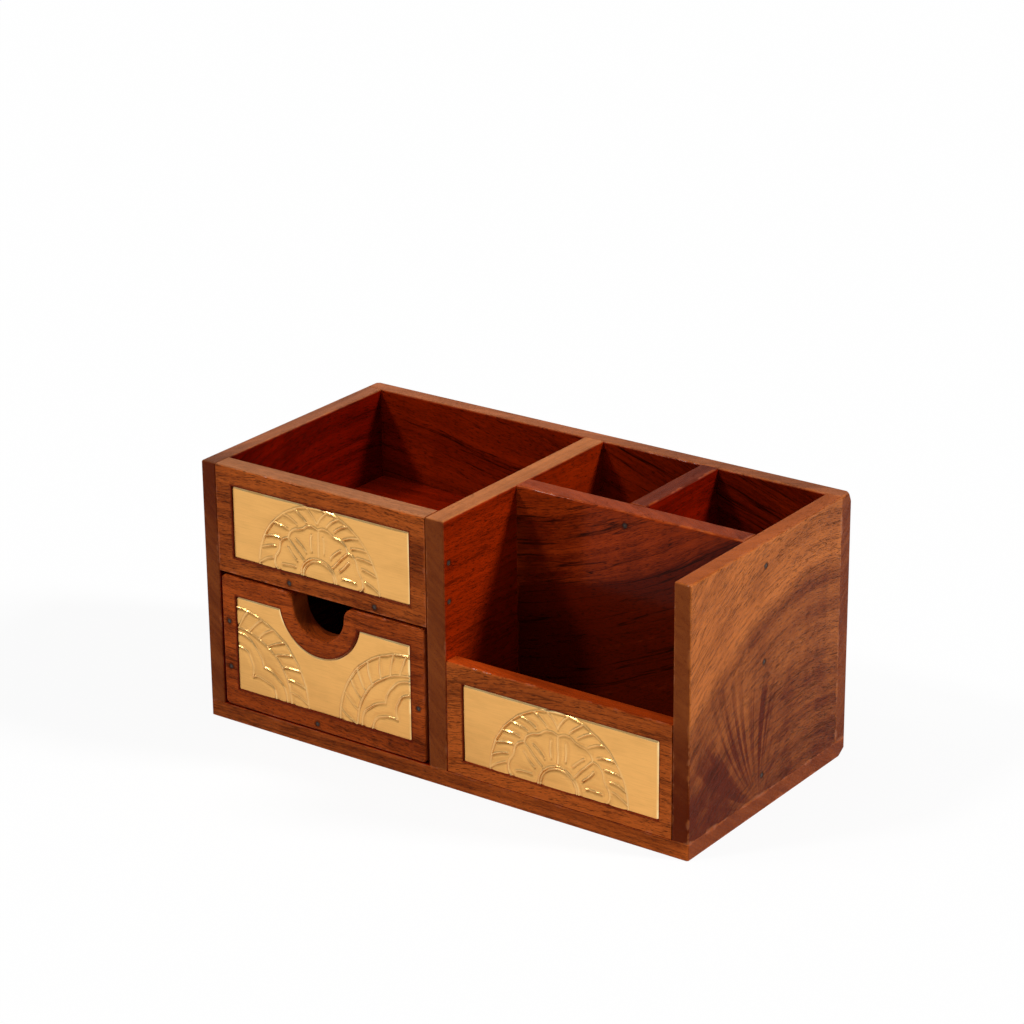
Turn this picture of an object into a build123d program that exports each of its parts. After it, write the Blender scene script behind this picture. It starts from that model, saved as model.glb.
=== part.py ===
from build123d import *

import os

# Desk pen stand with a drawer: hardwood boards, glued and nailed, with pressed brass plates let
# into the three fronts.  The left half holds an open tray above a drawer with a finger scoop.
# The right half holds a wide room behind a low front, and two pen wells behind a partition.
#
# +X is to the right, +Y to the back and +Z up, seen from the front.  The origin lies under the
# middle of the base.  All sizes are in millimetres.

# ---- Case ----
WIDTH = 203.0
DEPTH = 101.0
HEIGHT = 97.5
BASE_THICK = 6.0
SIDE_THICK = 6.5
BACK_THICK = 6.5
DIVIDER_THICK = 8.0  # stands on the middle of the width
PARTITION_THICK = 8.0  # crosses the right half
REAR_DIVIDER_THICK = 7.0  # parts the two pen wells
FRONT_ROOM = 41.7  # from the front to the partition
REAR_DIVIDER_SHIFT = -1.0  # from the middle of the right half
TRAY_FRONT_THICK = 8.0
TRAY_FRONT_HEIGHT = 40.0
TRAY_FLOOR_THICK = 6.0
LOW_FRONT_THICK = 6.0
LOW_FRONT_HEIGHT = 41.3  # above the base
EDGE_ROUND = 0.8  # sanded edges
REAR_CORNER_CUT = (2.5, 2.0, 4.5)  # sanded off the back, along X, Y and Z
BASE_CORNER_CUT = (3.0, 4.0, 2.5)  # sanded off the base, along X, Y and Z

# ---- Drawer ----
DRAWER_GAP_LEFT = 0.5
DRAWER_GAP_RIGHT = 1.0
DRAWER_GAP_TOP = 1.3
DRAWER_GAP_UNDER = 0.3
DRAWER_GAP_REAR = 1.0
DRAWER_FRONT_THICK = 8.0
DRAWER_SIDE_THICK = 6.0
DRAWER_BACK_THICK = 6.0
DRAWER_BOTTOM_THICK = 5.0
DRAWER_SIDE_DROP = 1.0  # the sides stop this far below the top of the front
DRAWER_CORNER = 2.0
SCOOP_RADIUS = 11.0
SCOOP_DEPTH = 15.2
SCOOP_SHIFT = -1.2  # from the middle of the drawer front
SCOOP_LIP = 4.5  # rounding of the scoop into the top edge
SCOOP_BORDER = 6.4  # wood between the scoop and the plate

# ---- Brass plates, each sunk in a recess inside a border of wood ----
PLATE_THICK = 0.5
PLATE_SUNK = 0.9  # from the wood's face to the plate's face
PLATE_GAP = 0.1  # round the plate in its recess
TRAY_BORDER_SIDE = 6.8
TRAY_BORDER_BOTTOM = 6.2
TRAY_BORDER_TOP = 6.9
DRAWER_BORDER_SIDE = 6.3
DRAWER_BORDER_BOTTOM = 6.9
DRAWER_BORDER_TOP = 7.2
LOW_BORDER_LEFT = 6.8
LOW_BORDER_RIGHT = 5.2
LOW_BORDER_BOTTOM = 5.6
LOW_BORDER_TOP = 7.2

# ---- Nails, plain pins driven flush ----
NAIL_RADIUS = 0.9
NAIL_LENGTH = 14.0
TRAY_NAILS_IN = (31.6, 68.9)  # from the left side's inner face
TRAY_NAILS_UP = 2.2  # above the tray's underside
END_NAILS_BACK = 2.6  # into the ends of the tray front, behind its face
END_NAILS_DOWN = (15.5, 29.5)  # below the top
RIGHT_NAIL_DOWN = 8.5  # the uppermost nail, below the top
RIGHT_NAIL_UP = 7.1  # the lowest nail, above the base
RIGHT_NAIL_SHIFT = 3.55  # the middle nail, above the middle of these two
PARTITION_NAIL_DOWN = 5.0
PARTITION_NAIL_UP = 11.5
BACK_NAIL_DOWN = 18.0
BACK_NAIL_UP = 15.5
BASE_NAILS_ALONG = (-30.0, 30.0)
DRAWER_LEFT_NAILS = (0.30, 0.65)  # shares of the drawer front's height
DRAWER_RIGHT_NAILS = (0.40,)
DRAWER_REAR_NAILS = (0.30, 0.65)
DRAWER_BOTTOM_NAIL_SHIFT = -3.0  # from the middle of the drawer front
DRAWER_BOTTOM_NAILS_BACK = (25.0, 70.0)  # behind the drawer's face

# ---- Places that follow from the sizes ----
LEFT_X = -WIDTH / 2
RIGHT_X = WIDTH / 2
FRONT_Y = -DEPTH / 2
BACK_Y = DEPTH / 2
HALL_LEFT = LEFT_X + SIDE_THICK  # inner face of the left side
HALL_RIGHT = RIGHT_X - SIDE_THICK  # inner face of the right side
DIVIDER_LEFT = -DIVIDER_THICK / 2
DIVIDER_RIGHT = DIVIDER_THICK / 2
BACK_INNER_Y = BACK_Y - BACK_THICK
PARTITION_FRONT_Y = FRONT_Y + FRONT_ROOM
PARTITION_BACK_Y = PARTITION_FRONT_Y + PARTITION_THICK
REAR_DIVIDER_X = (DIVIDER_RIGHT + HALL_RIGHT) / 2 + REAR_DIVIDER_SHIFT
TRAY_BOTTOM = HEIGHT - TRAY_FRONT_HEIGHT
LOW_TOP = BASE_THICK + LOW_FRONT_HEIGHT

DRAWER_LEFT = HALL_LEFT + DRAWER_GAP_LEFT
DRAWER_RIGHT = DIVIDER_LEFT - DRAWER_GAP_RIGHT
DRAWER_UNDERSIDE = BASE_THICK + DRAWER_GAP_UNDER
DRAWER_TOP = TRAY_BOTTOM - DRAWER_GAP_TOP
DRAWER_INNER_Y = FRONT_Y + DRAWER_FRONT_THICK
DRAWER_BACK_Y = BACK_INNER_Y - DRAWER_GAP_REAR
DRAWER_FLOOR = DRAWER_UNDERSIDE + DRAWER_BOTTOM_THICK
DRAWER_SIDE_TOP = DRAWER_TOP - DRAWER_SIDE_DROP
SCOOP_X = (DRAWER_LEFT + DRAWER_RIGHT) / 2 + SCOOP_SHIFT
SCOOP_Z = DRAWER_TOP - SCOOP_DEPTH + SCOOP_RADIUS

FRONT = Plane.XZ.offset(DEPTH / 2)  # the face of the case, drawn on as X and Z
RECESS_FLOOR = PLATE_THICK + PLATE_SUNK

# Edges of the plates' recesses, as left, right, bottom and top
TRAY_RECESS = (
    HALL_LEFT + TRAY_BORDER_SIDE,
    DIVIDER_LEFT - TRAY_BORDER_SIDE,
    TRAY_BOTTOM + TRAY_BORDER_BOTTOM,
    HEIGHT - TRAY_BORDER_TOP,
)
DRAWER_RECESS = (
    DRAWER_LEFT + DRAWER_BORDER_SIDE,
    DRAWER_RIGHT - DRAWER_BORDER_SIDE,
    DRAWER_UNDERSIDE + DRAWER_BORDER_BOTTOM,
    DRAWER_TOP - DRAWER_BORDER_TOP,
)
LOW_RECESS = (
    DIVIDER_RIGHT + LOW_BORDER_LEFT,
    HALL_RIGHT - LOW_BORDER_RIGHT,
    BASE_THICK + LOW_BORDER_BOTTOM,
    LOW_TOP - LOW_BORDER_TOP,
)


# ---- Shapes that several pieces share ----
def rectangle_between(left, right, bottom, top):
    """A rectangle from edge to edge, drawn into the sketch at hand."""
    with Locations(((left + right) / 2, (bottom + top) / 2)):
        Rectangle(right - left, top - bottom)


def recess_outline(edges, gap=0.0):
    """The outline of a plate's recess, or with a gap that of the plate itself."""
    left, right, bottom, top = edges
    rectangle_between(left + gap, right - gap, bottom + gap, top - gap)


def scooped_recess_outline(gap=0.0):
    """The drawer plate's outline, which bends round the finger scoop."""
    recess_outline(DRAWER_RECESS, gap)
    with Locations((SCOOP_X, SCOOP_Z)):
        Circle(SCOOP_RADIUS + SCOOP_BORDER + gap, mode=Mode.SUBTRACT)


def top_edges(board, along):
    """The edges of a board's top face that run along an axis."""
    return board.edges().group_by(Axis.Z)[-1].filter_by(along)


def upright_edges(board, nearest):
    """The upright edges that stand furthest towards the low end of an axis."""
    return board.edges().filter_by(Axis.Z).group_by(nearest)[0]


def driven(points, towards):
    """Where nails stand whose heads lie on the points, driven in one direction."""
    return [Plane(origin=point, z_dir=towards).location for point in points]


def drawer_nails_z(shares):
    """How high nails are that stand at these shares of the drawer front's height."""
    return [DRAWER_UNDERSIDE + share * (DRAWER_TOP - DRAWER_UNDERSIDE) for share in shares]


TO_BACK = (0, 1, 0)
TO_FRONT = (0, -1, 0)
TO_LEFT = (-1, 0, 0)
TO_RIGHT = (1, 0, 0)
UPWARDS = (0, 0, 1)

# One nail, with its head on the origin
with BuildPart() as nail:
    with BuildSketch(Plane.XY):
        Circle(NAIL_RADIUS)
    extrude(amount=NAIL_LENGTH)

tray_front_nail_places = driven(
    [(HALL_LEFT + x, FRONT_Y, TRAY_BOTTOM + TRAY_NAILS_UP) for x in TRAY_NAILS_IN], TO_BACK
)
left_side_nail_places = driven(
    [(LEFT_X, FRONT_Y + END_NAILS_BACK, HEIGHT - down) for down in END_NAILS_DOWN], TO_RIGHT
)
divider_nail_places = driven(
    [(DIVIDER_RIGHT, FRONT_Y + END_NAILS_BACK, HEIGHT - down) for down in END_NAILS_DOWN],
    TO_LEFT,
)
right_nails_y = (PARTITION_FRONT_Y + PARTITION_BACK_Y) / 2
right_nails_z = (HEIGHT - RIGHT_NAIL_DOWN, BASE_THICK + RIGHT_NAIL_UP)
right_nails_z += (sum(right_nails_z) / 2 + RIGHT_NAIL_SHIFT,)
right_side_nail_places = driven([(RIGHT_X, right_nails_y, z) for z in right_nails_z], TO_LEFT)
partition_nails_z = (HEIGHT - PARTITION_NAIL_DOWN, BASE_THICK + PARTITION_NAIL_UP)
partition_nail_places = driven(
    [(REAR_DIVIDER_X, PARTITION_FRONT_Y, z) for z in partition_nails_z], TO_BACK
)
upright_boards_x = (LEFT_X + SIDE_THICK / 2, 0.0, RIGHT_X - SIDE_THICK / 2)
back_nails_z = (HEIGHT - BACK_NAIL_DOWN, BASE_THICK + BACK_NAIL_UP)
back_nail_places = driven(
    [(x, BACK_Y, z) for x in upright_boards_x + (REAR_DIVIDER_X,) for z in back_nails_z],
    TO_FRONT,
)
base_nail_places = driven(
    [(x, y, 0) for x in upright_boards_x for y in BASE_NAILS_ALONG], UPWARDS
)
drawer_side_x = (DRAWER_LEFT + DRAWER_SIDE_THICK / 2, DRAWER_RIGHT - DRAWER_SIDE_THICK / 2)
drawer_bottom_nail_x = (DRAWER_LEFT + DRAWER_RIGHT) / 2 + DRAWER_BOTTOM_NAIL_SHIFT
drawer_front_nail_places = driven(
    [(drawer_side_x[0], FRONT_Y, z) for z in drawer_nails_z(DRAWER_LEFT_NAILS)]
    + [(drawer_side_x[1], FRONT_Y, z) for z in drawer_nails_z(DRAWER_RIGHT_NAILS)]
    + [(drawer_bottom_nail_x, FRONT_Y, DRAWER_UNDERSIDE + DRAWER_BOTTOM_THICK / 2)],
    TO_BACK,
)
drawer_rear_nail_y = DRAWER_BACK_Y - DRAWER_BACK_THICK / 2
drawer_side_nail_places = driven(
    [(DRAWER_LEFT, drawer_rear_nail_y, z) for z in drawer_nails_z(DRAWER_REAR_NAILS)], TO_RIGHT
) + driven(
    [(DRAWER_RIGHT, drawer_rear_nail_y, z) for z in drawer_nails_z(DRAWER_REAR_NAILS)], TO_LEFT
)
drawer_bottom_nail_places = driven(
    [(x, FRONT_Y + y, DRAWER_UNDERSIDE) for x in drawer_side_x for y in DRAWER_BOTTOM_NAILS_BACK],
    UPWARDS,
)


def drive_nails(*groups):
    """Cut the holes of these groups of nails out of the board at hand."""
    for places in groups:
        with Locations(*places):
            add(nail.part, mode=Mode.SUBTRACT)


def sand_off_rear_corners(z, towards, cut):
    """Cut both rear corners at height z obliquely, as far along each axis as cut says."""
    along_x, along_y, along_z = cut
    for x, out in ((LEFT_X, -1), (RIGHT_X, 1)):
        corner = Plane(
            origin=(x, BACK_Y, z - towards * along_z),
            x_dir=(-out * along_x, 0, towards * along_z),
            z_dir=(out / along_x, 1 / along_y, towards / along_z),
        )
        split(bisect_by=corner, keep=Keep.BOTTOM)


# ---- Case boards ----
with BuildPart() as base_board:
    with BuildSketch(Plane.XY):
        RectangleRounded(WIDTH, DEPTH, EDGE_ROUND)
    extrude(amount=BASE_THICK)
    sand_off_rear_corners(0, -1, BASE_CORNER_CUT)
    drive_nails(base_nail_places)
base_board.part.label = "base_board"

with BuildPart() as left_side:
    with BuildSketch(Plane.YZ.offset(LEFT_X)):
        rectangle_between(FRONT_Y, BACK_INNER_Y, BASE_THICK, HEIGHT)
    extrude(amount=SIDE_THICK)
    fillet(
        top_edges(left_side, Axis.Y)
        + top_edges(left_side, Axis.X).sort_by(Axis.Y)[:1]
        + upright_edges(left_side, Axis.Y),
        radius=EDGE_ROUND,
    )
    drive_nails(left_side_nail_places, back_nail_places, base_nail_places)
left_side.part.label = "left_side"

with BuildPart() as right_side:
    with BuildSketch(Plane.YZ.offset(HALL_RIGHT)):
        rectangle_between(FRONT_Y, BACK_INNER_Y, BASE_THICK, HEIGHT)
    extrude(amount=SIDE_THICK)
    fillet(
        top_edges(right_side, Axis.Y)
        + top_edges(right_side, Axis.X).sort_by(Axis.Y)[:1]
        + upright_edges(right_side, Axis.Y),
        radius=EDGE_ROUND,
    )
    drive_nails(right_side_nail_places, back_nail_places, base_nail_places)
right_side.part.label = "right_side"

with BuildPart() as back_panel:
    with BuildSketch(Plane.XZ.offset(-BACK_Y)):
        rectangle_between(LEFT_X, RIGHT_X, BASE_THICK, HEIGHT)
    extrude(amount=BACK_THICK)
    fillet(
        top_edges(back_panel, Axis.X)
        + top_edges(back_panel, Axis.Y)
        + back_panel.edges().filter_by(Axis.Z).group_by(Axis.Y)[-1],
        radius=EDGE_ROUND,
    )
    sand_off_rear_corners(HEIGHT, 1, REAR_CORNER_CUT)
    drive_nails(back_nail_places)
back_panel.part.label = "back_panel"

with BuildPart() as centre_divider:
    with BuildSketch(Plane.YZ.offset(DIVIDER_LEFT)):
        rectangle_between(FRONT_Y, BACK_INNER_Y, BASE_THICK, HEIGHT)
    extrude(amount=DIVIDER_THICK)
    fillet(
        top_edges(centre_divider, Axis.Y)
        + top_edges(centre_divider, Axis.X).sort_by(Axis.Y)[:1]
        + upright_edges(centre_divider, Axis.Y),
        radius=EDGE_ROUND,
    )
    drive_nails(divider_nail_places, back_nail_places, base_nail_places)
centre_divider.part.label = "centre_divider"

with BuildPart() as cross_partition:
    with BuildSketch(Plane.XZ.offset(-PARTITION_BACK_Y)):
        rectangle_between(DIVIDER_RIGHT, HALL_RIGHT, BASE_THICK, HEIGHT)
    extrude(amount=PARTITION_THICK)
    fillet(top_edges(cross_partition, Axis.X), radius=EDGE_ROUND)
    drive_nails(right_side_nail_places, partition_nail_places)
cross_partition.part.label = "cross_partition"

with BuildPart() as rear_divider:
    with BuildSketch(Plane.YZ.offset(REAR_DIVIDER_X - REAR_DIVIDER_THICK / 2)):
        rectangle_between(PARTITION_BACK_Y, BACK_INNER_Y, BASE_THICK, HEIGHT)
    extrude(amount=REAR_DIVIDER_THICK)
    fillet(top_edges(rear_divider, Axis.Y), radius=EDGE_ROUND)
    drive_nails(partition_nail_places, back_nail_places)
rear_divider.part.label = "rear_divider"

# ---- Tray above the drawer ----
with BuildPart() as tray_floor:
    with BuildSketch(Plane.XY.offset(TRAY_BOTTOM)):
        rectangle_between(
            HALL_LEFT, DIVIDER_LEFT, FRONT_Y + TRAY_FRONT_THICK, BACK_INNER_Y
        )
    extrude(amount=TRAY_FLOOR_THICK)
    drive_nails(tray_front_nail_places)
tray_floor.part.label = "tray_floor"

with BuildPart() as tray_front:
    with BuildSketch(FRONT):
        rectangle_between(HALL_LEFT, DIVIDER_LEFT, TRAY_BOTTOM, HEIGHT)
    extrude(amount=-TRAY_FRONT_THICK)
    fillet(top_edges(tray_front, Axis.X), radius=EDGE_ROUND)
    with BuildSketch(FRONT):
        recess_outline(TRAY_RECESS)
    extrude(amount=-RECESS_FLOOR, mode=Mode.SUBTRACT)
    drive_nails(tray_front_nail_places, left_side_nail_places, divider_nail_places)
tray_front.part.label = "tray_front"

with BuildPart() as tray_plate:
    with BuildSketch(FRONT.offset(-RECESS_FLOOR)):
        recess_outline(TRAY_RECESS, PLATE_GAP)
    extrude(amount=PLATE_THICK)
tray_plate.part.label = "tray_plate"

# ---- Low front of the right half ----
with BuildPart() as low_front:
    with BuildSketch(FRONT):
        rectangle_between(DIVIDER_RIGHT, HALL_RIGHT, BASE_THICK, LOW_TOP)
    extrude(amount=-LOW_FRONT_THICK)
    fillet(top_edges(low_front, Axis.X), radius=EDGE_ROUND)
    with BuildSketch(FRONT):
        recess_outline(LOW_RECESS)
    extrude(amount=-RECESS_FLOOR, mode=Mode.SUBTRACT)
low_front.part.label = "low_front"

with BuildPart() as low_plate:
    with BuildSketch(FRONT.offset(-RECESS_FLOOR)):
        recess_outline(LOW_RECESS, PLATE_GAP)
    extrude(amount=PLATE_THICK)
low_plate.part.label = "low_plate"

# ---- Drawer ----
with BuildPart() as drawer_front:
    with BuildSketch(FRONT) as drawer_face:
        with Locations(((DRAWER_LEFT + DRAWER_RIGHT) / 2, (DRAWER_UNDERSIDE + DRAWER_TOP) / 2)):
            RectangleRounded(
                DRAWER_RIGHT - DRAWER_LEFT, DRAWER_TOP - DRAWER_UNDERSIDE, DRAWER_CORNER
            )
        with Locations((SCOOP_X, SCOOP_Z)):
            Circle(SCOOP_RADIUS, mode=Mode.SUBTRACT)
        scoop_ends = drawer_face.vertices().group_by(Axis.Y)[-1].sort_by(Axis.X)[1:3]
        fillet(scoop_ends, radius=SCOOP_LIP)
    extrude(amount=-DRAWER_FRONT_THICK)
    fillet(drawer_front.faces().sort_by(Axis.Y)[0].edges(), radius=EDGE_ROUND)
    with BuildSketch(FRONT):
        scooped_recess_outline()
    extrude(amount=-RECESS_FLOOR, mode=Mode.SUBTRACT)
    drive_nails(drawer_front_nail_places)
drawer_front.part.label = "drawer_front"

with BuildPart() as drawer_plate:
    with BuildSketch(FRONT.offset(-RECESS_FLOOR)):
        scooped_recess_outline(PLATE_GAP)
    extrude(amount=PLATE_THICK)
drawer_plate.part.label = "drawer_plate"

with BuildPart() as drawer_bottom:
    with BuildSketch(Plane.XY.offset(DRAWER_UNDERSIDE)):
        rectangle_between(DRAWER_LEFT, DRAWER_RIGHT, DRAWER_INNER_Y, DRAWER_BACK_Y)
    extrude(amount=DRAWER_BOTTOM_THICK)
    drive_nails(drawer_bottom_nail_places, drawer_front_nail_places)
drawer_bottom.part.label = "drawer_bottom"

with BuildPart() as drawer_left_side:
    with BuildSketch(Plane.YZ.offset(DRAWER_LEFT)):
        rectangle_between(DRAWER_INNER_Y, DRAWER_BACK_Y, DRAWER_FLOOR, DRAWER_SIDE_TOP)
    extrude(amount=DRAWER_SIDE_THICK)
    fillet(top_edges(drawer_left_side, Axis.Y), radius=EDGE_ROUND)
    drive_nails(drawer_front_nail_places, drawer_side_nail_places, drawer_bottom_nail_places)
drawer_left_side.part.label = "drawer_left_side"

with BuildPart() as drawer_right_side:
    with BuildSketch(Plane.YZ.offset(DRAWER_RIGHT - DRAWER_SIDE_THICK)):
        rectangle_between(DRAWER_INNER_Y, DRAWER_BACK_Y, DRAWER_FLOOR, DRAWER_SIDE_TOP)
    extrude(amount=DRAWER_SIDE_THICK)
    fillet(top_edges(drawer_right_side, Axis.Y), radius=EDGE_ROUND)
    drive_nails(drawer_front_nail_places, drawer_side_nail_places, drawer_bottom_nail_places)
drawer_right_side.part.label = "drawer_right_side"

with BuildPart() as drawer_back:
    with BuildSketch(Plane.XZ.offset(-DRAWER_BACK_Y)):
        rectangle_between(
            DRAWER_LEFT + DRAWER_SIDE_THICK,
            DRAWER_RIGHT - DRAWER_SIDE_THICK,
            DRAWER_FLOOR,
            DRAWER_SIDE_TOP,
        )
    extrude(amount=DRAWER_BACK_THICK)
    fillet(top_edges(drawer_back, Axis.X), radius=EDGE_ROUND)
    drive_nails(drawer_side_nail_places)
drawer_back.part.label = "drawer_back"

# ---- Nails, one node for each board that their heads show on ----
nail_groups = {
    "tray_front_nails": tray_front_nail_places,
    "left_side_nails": left_side_nail_places,
    "divider_nails": divider_nail_places,
    "right_side_nails": right_side_nail_places,
    "partition_nails": partition_nail_places,
    "back_nails": back_nail_places,
    "base_nails": base_nail_places,
    "drawer_front_nails": drawer_front_nail_places,
    "drawer_side_nails": drawer_side_nail_places,
    "drawer_bottom_nails": drawer_bottom_nail_places,
}
nails = []
for group_name, places in nail_groups.items():
    with BuildPart() as nail_group:
        with Locations(*places):
            add(nail.part)
    nail_group.part.label = group_name
    nails.append(nail_group)

# ---- Files ----
boards = [
    base_board,
    left_side,
    right_side,
    back_panel,
    centre_divider,
    cross_partition,
    rear_divider,
    tray_floor,
    tray_front,
    low_front,
    drawer_front,
    drawer_bottom,
    drawer_left_side,
    drawer_right_side,
    drawer_back,
]
plates = [tray_plate, low_plate, drawer_plate]

os.makedirs("parts", exist_ok=True)
for piece in boards + plates + nails:
    export_step(piece.part, f"parts/{piece.part.label}.step")
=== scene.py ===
import math

import bmesh
import bpy
from bpy.props import FloatProperty, FloatVectorProperty, IntProperty, PointerProperty
from mathutils import Matrix, Vector


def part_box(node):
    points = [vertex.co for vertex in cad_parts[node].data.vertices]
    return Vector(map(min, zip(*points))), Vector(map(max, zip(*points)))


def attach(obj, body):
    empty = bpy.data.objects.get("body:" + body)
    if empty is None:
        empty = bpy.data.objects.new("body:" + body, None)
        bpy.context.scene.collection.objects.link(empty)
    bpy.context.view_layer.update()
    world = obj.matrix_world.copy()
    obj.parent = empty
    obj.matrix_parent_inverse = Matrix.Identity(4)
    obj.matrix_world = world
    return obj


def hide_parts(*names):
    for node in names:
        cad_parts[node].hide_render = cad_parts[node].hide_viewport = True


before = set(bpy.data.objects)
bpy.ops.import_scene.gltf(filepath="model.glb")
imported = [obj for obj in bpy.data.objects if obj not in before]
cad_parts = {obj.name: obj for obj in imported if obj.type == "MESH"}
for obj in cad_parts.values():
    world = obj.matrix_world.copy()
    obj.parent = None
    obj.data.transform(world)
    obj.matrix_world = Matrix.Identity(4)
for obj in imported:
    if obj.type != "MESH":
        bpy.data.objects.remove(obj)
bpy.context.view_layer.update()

# Finishes a nailed hardwood pen stand: lacquered rosewood boards, three pressed brass plates with
# half and quarter flowers, and worn steel nails, on a white floor under soft lamps.
# Lengths are in metres; the grain of the wood is worked out in millimetres.

bl_info = {
    "name": "Pen Stand with Drawer",
    "version": (1, 0, 0),
    "blender": (4, 5, 0),
    "location": "3D View > Sidebar > Pen Stand",
    "description": "Finishes a nailed rosewood pen stand with pressed brass plates",
    "category": "Add Mesh",
}

MM = 0.001
AXES = {"X": Vector((1, 0, 0)), "Y": Vector((0, 1, 0)), "Z": Vector((0, 0, 1))}


# ---- Node trees ----
class NodeBuilder:
    """Adds nodes to one tree. An input takes a plain value or another node's output."""

    def __init__(self, tree):
        self.tree = tree

    def feed(self, socket, value):
        if isinstance(value, bpy.types.NodeSocket):
            self.tree.links.new(value, socket)
        else:
            socket.default_value = value

    def add(self, kind, inputs=None, **settings):
        """A node with these settings, and with these inputs by name or by number."""
        node = self.tree.nodes.new(kind)
        for setting, value in settings.items():
            setattr(node, setting, value)
        for key, value in (inputs or {}).items():
            if isinstance(key, str):
                socket = next(s for s in node.inputs if s.name == key and s.enabled)
            else:
                socket = node.inputs[key]
            self.feed(socket, value)
        return node

    def math(self, operation, *values, clamp=False):
        inputs = dict(enumerate(values))
        return self.add("ShaderNodeMath", inputs, operation=operation, use_clamp=clamp).outputs[0]

    def vector(self, operation, *values, out="Vector"):
        inputs = dict(enumerate(values))
        return self.add("ShaderNodeVectorMath", inputs, operation=operation).outputs[out]

    def scaled(self, vector, scale):
        inputs = {0: vector, "Scale": scale}
        return self.add("ShaderNodeVectorMath", inputs, operation="SCALE").outputs["Vector"]

    def split(self, vector):
        return self.add("ShaderNodeSeparateXYZ", {0: vector}).outputs

    def join(self, x, y, z):
        return self.add("ShaderNodeCombineXYZ", {0: x, 1: y, 2: z}).outputs[0]

    def spread(self, value, low, high, start=0.0, end=1.0):
        """Brings a value between low and high smoothly to start and end, and keeps it there."""
        inputs = {"Value": value, "From Min": low, "From Max": high, "To Min": start, "To Max": end}
        node = self.add("ShaderNodeMapRange", inputs, interpolation_type="SMOOTHSTEP")
        return node.outputs["Result"]

    def mix(self, factor, first, second):
        inputs = {0: factor, 6: first, 7: second}
        return self.add("ShaderNodeMix", inputs, data_type="RGBA").outputs[2]

    def noise(self, vector, scale=1.0, detail=2.0, roughness=0.5, out="Fac"):
        inputs = {"Vector": vector, "Scale": scale, "Detail": detail, "Roughness": roughness}
        return self.add("ShaderNodeTexNoise", inputs).outputs[out]

    def sum(self, *values):
        total = values[0]
        for value in values[1:]:
            total = self.math("ADD", total, value)
        return total

    def bell(self, value, width):
        """1 at zero, and fading to nothing on both sides over about twice the width."""
        share = self.math("DIVIDE", value, width)
        power = self.math("MULTIPLY", self.math("MULTIPLY", share, share), -1.0)
        return self.math("EXPONENT", power)


SOCKETS = {
    "float": "NodeSocketFloat",
    "int": "NodeSocketInt",
    "vector": "NodeSocketVector",
    "color": "NodeSocketColor",
    "geometry": "NodeSocketGeometry",
    "material": "NodeSocketMaterial",
}


def new_group(name, kind, inputs, outputs):
    """An empty node group with named sockets, and a builder for what goes into it."""
    tree = bpy.data.node_groups.new(name, kind)
    for socket, sort, default in inputs:
        made = tree.interface.new_socket(socket, in_out="INPUT", socket_type=SOCKETS[sort])
        if default is not None:
            made.default_value = default
    for socket, sort in outputs:
        tree.interface.new_socket(socket, in_out="OUTPUT", socket_type=SOCKETS[sort])
    nodes = NodeBuilder(tree)
    given = nodes.add("NodeGroupInput").outputs
    result = nodes.add("NodeGroupOutput").inputs
    return nodes, given, result


def shared_group(name, make):
    """The node group of this name, made when it is first asked for."""
    if name not in bpy.data.node_groups:
        make(name)
    return bpy.data.node_groups[name]


def use_group(nodes, name, make, **inputs):
    """Places a shared group in a tree and gives its outputs. Inputs are written with underscores."""
    kind = nodes.tree.bl_idname.replace("Tree", "Group")
    named = {key.replace("_", " "): value for key, value in inputs.items()}
    node = nodes.add(kind, node_tree=shared_group(name, make))
    for key, value in named.items():
        nodes.feed(node.inputs[key], value)
    return node.outputs


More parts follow.
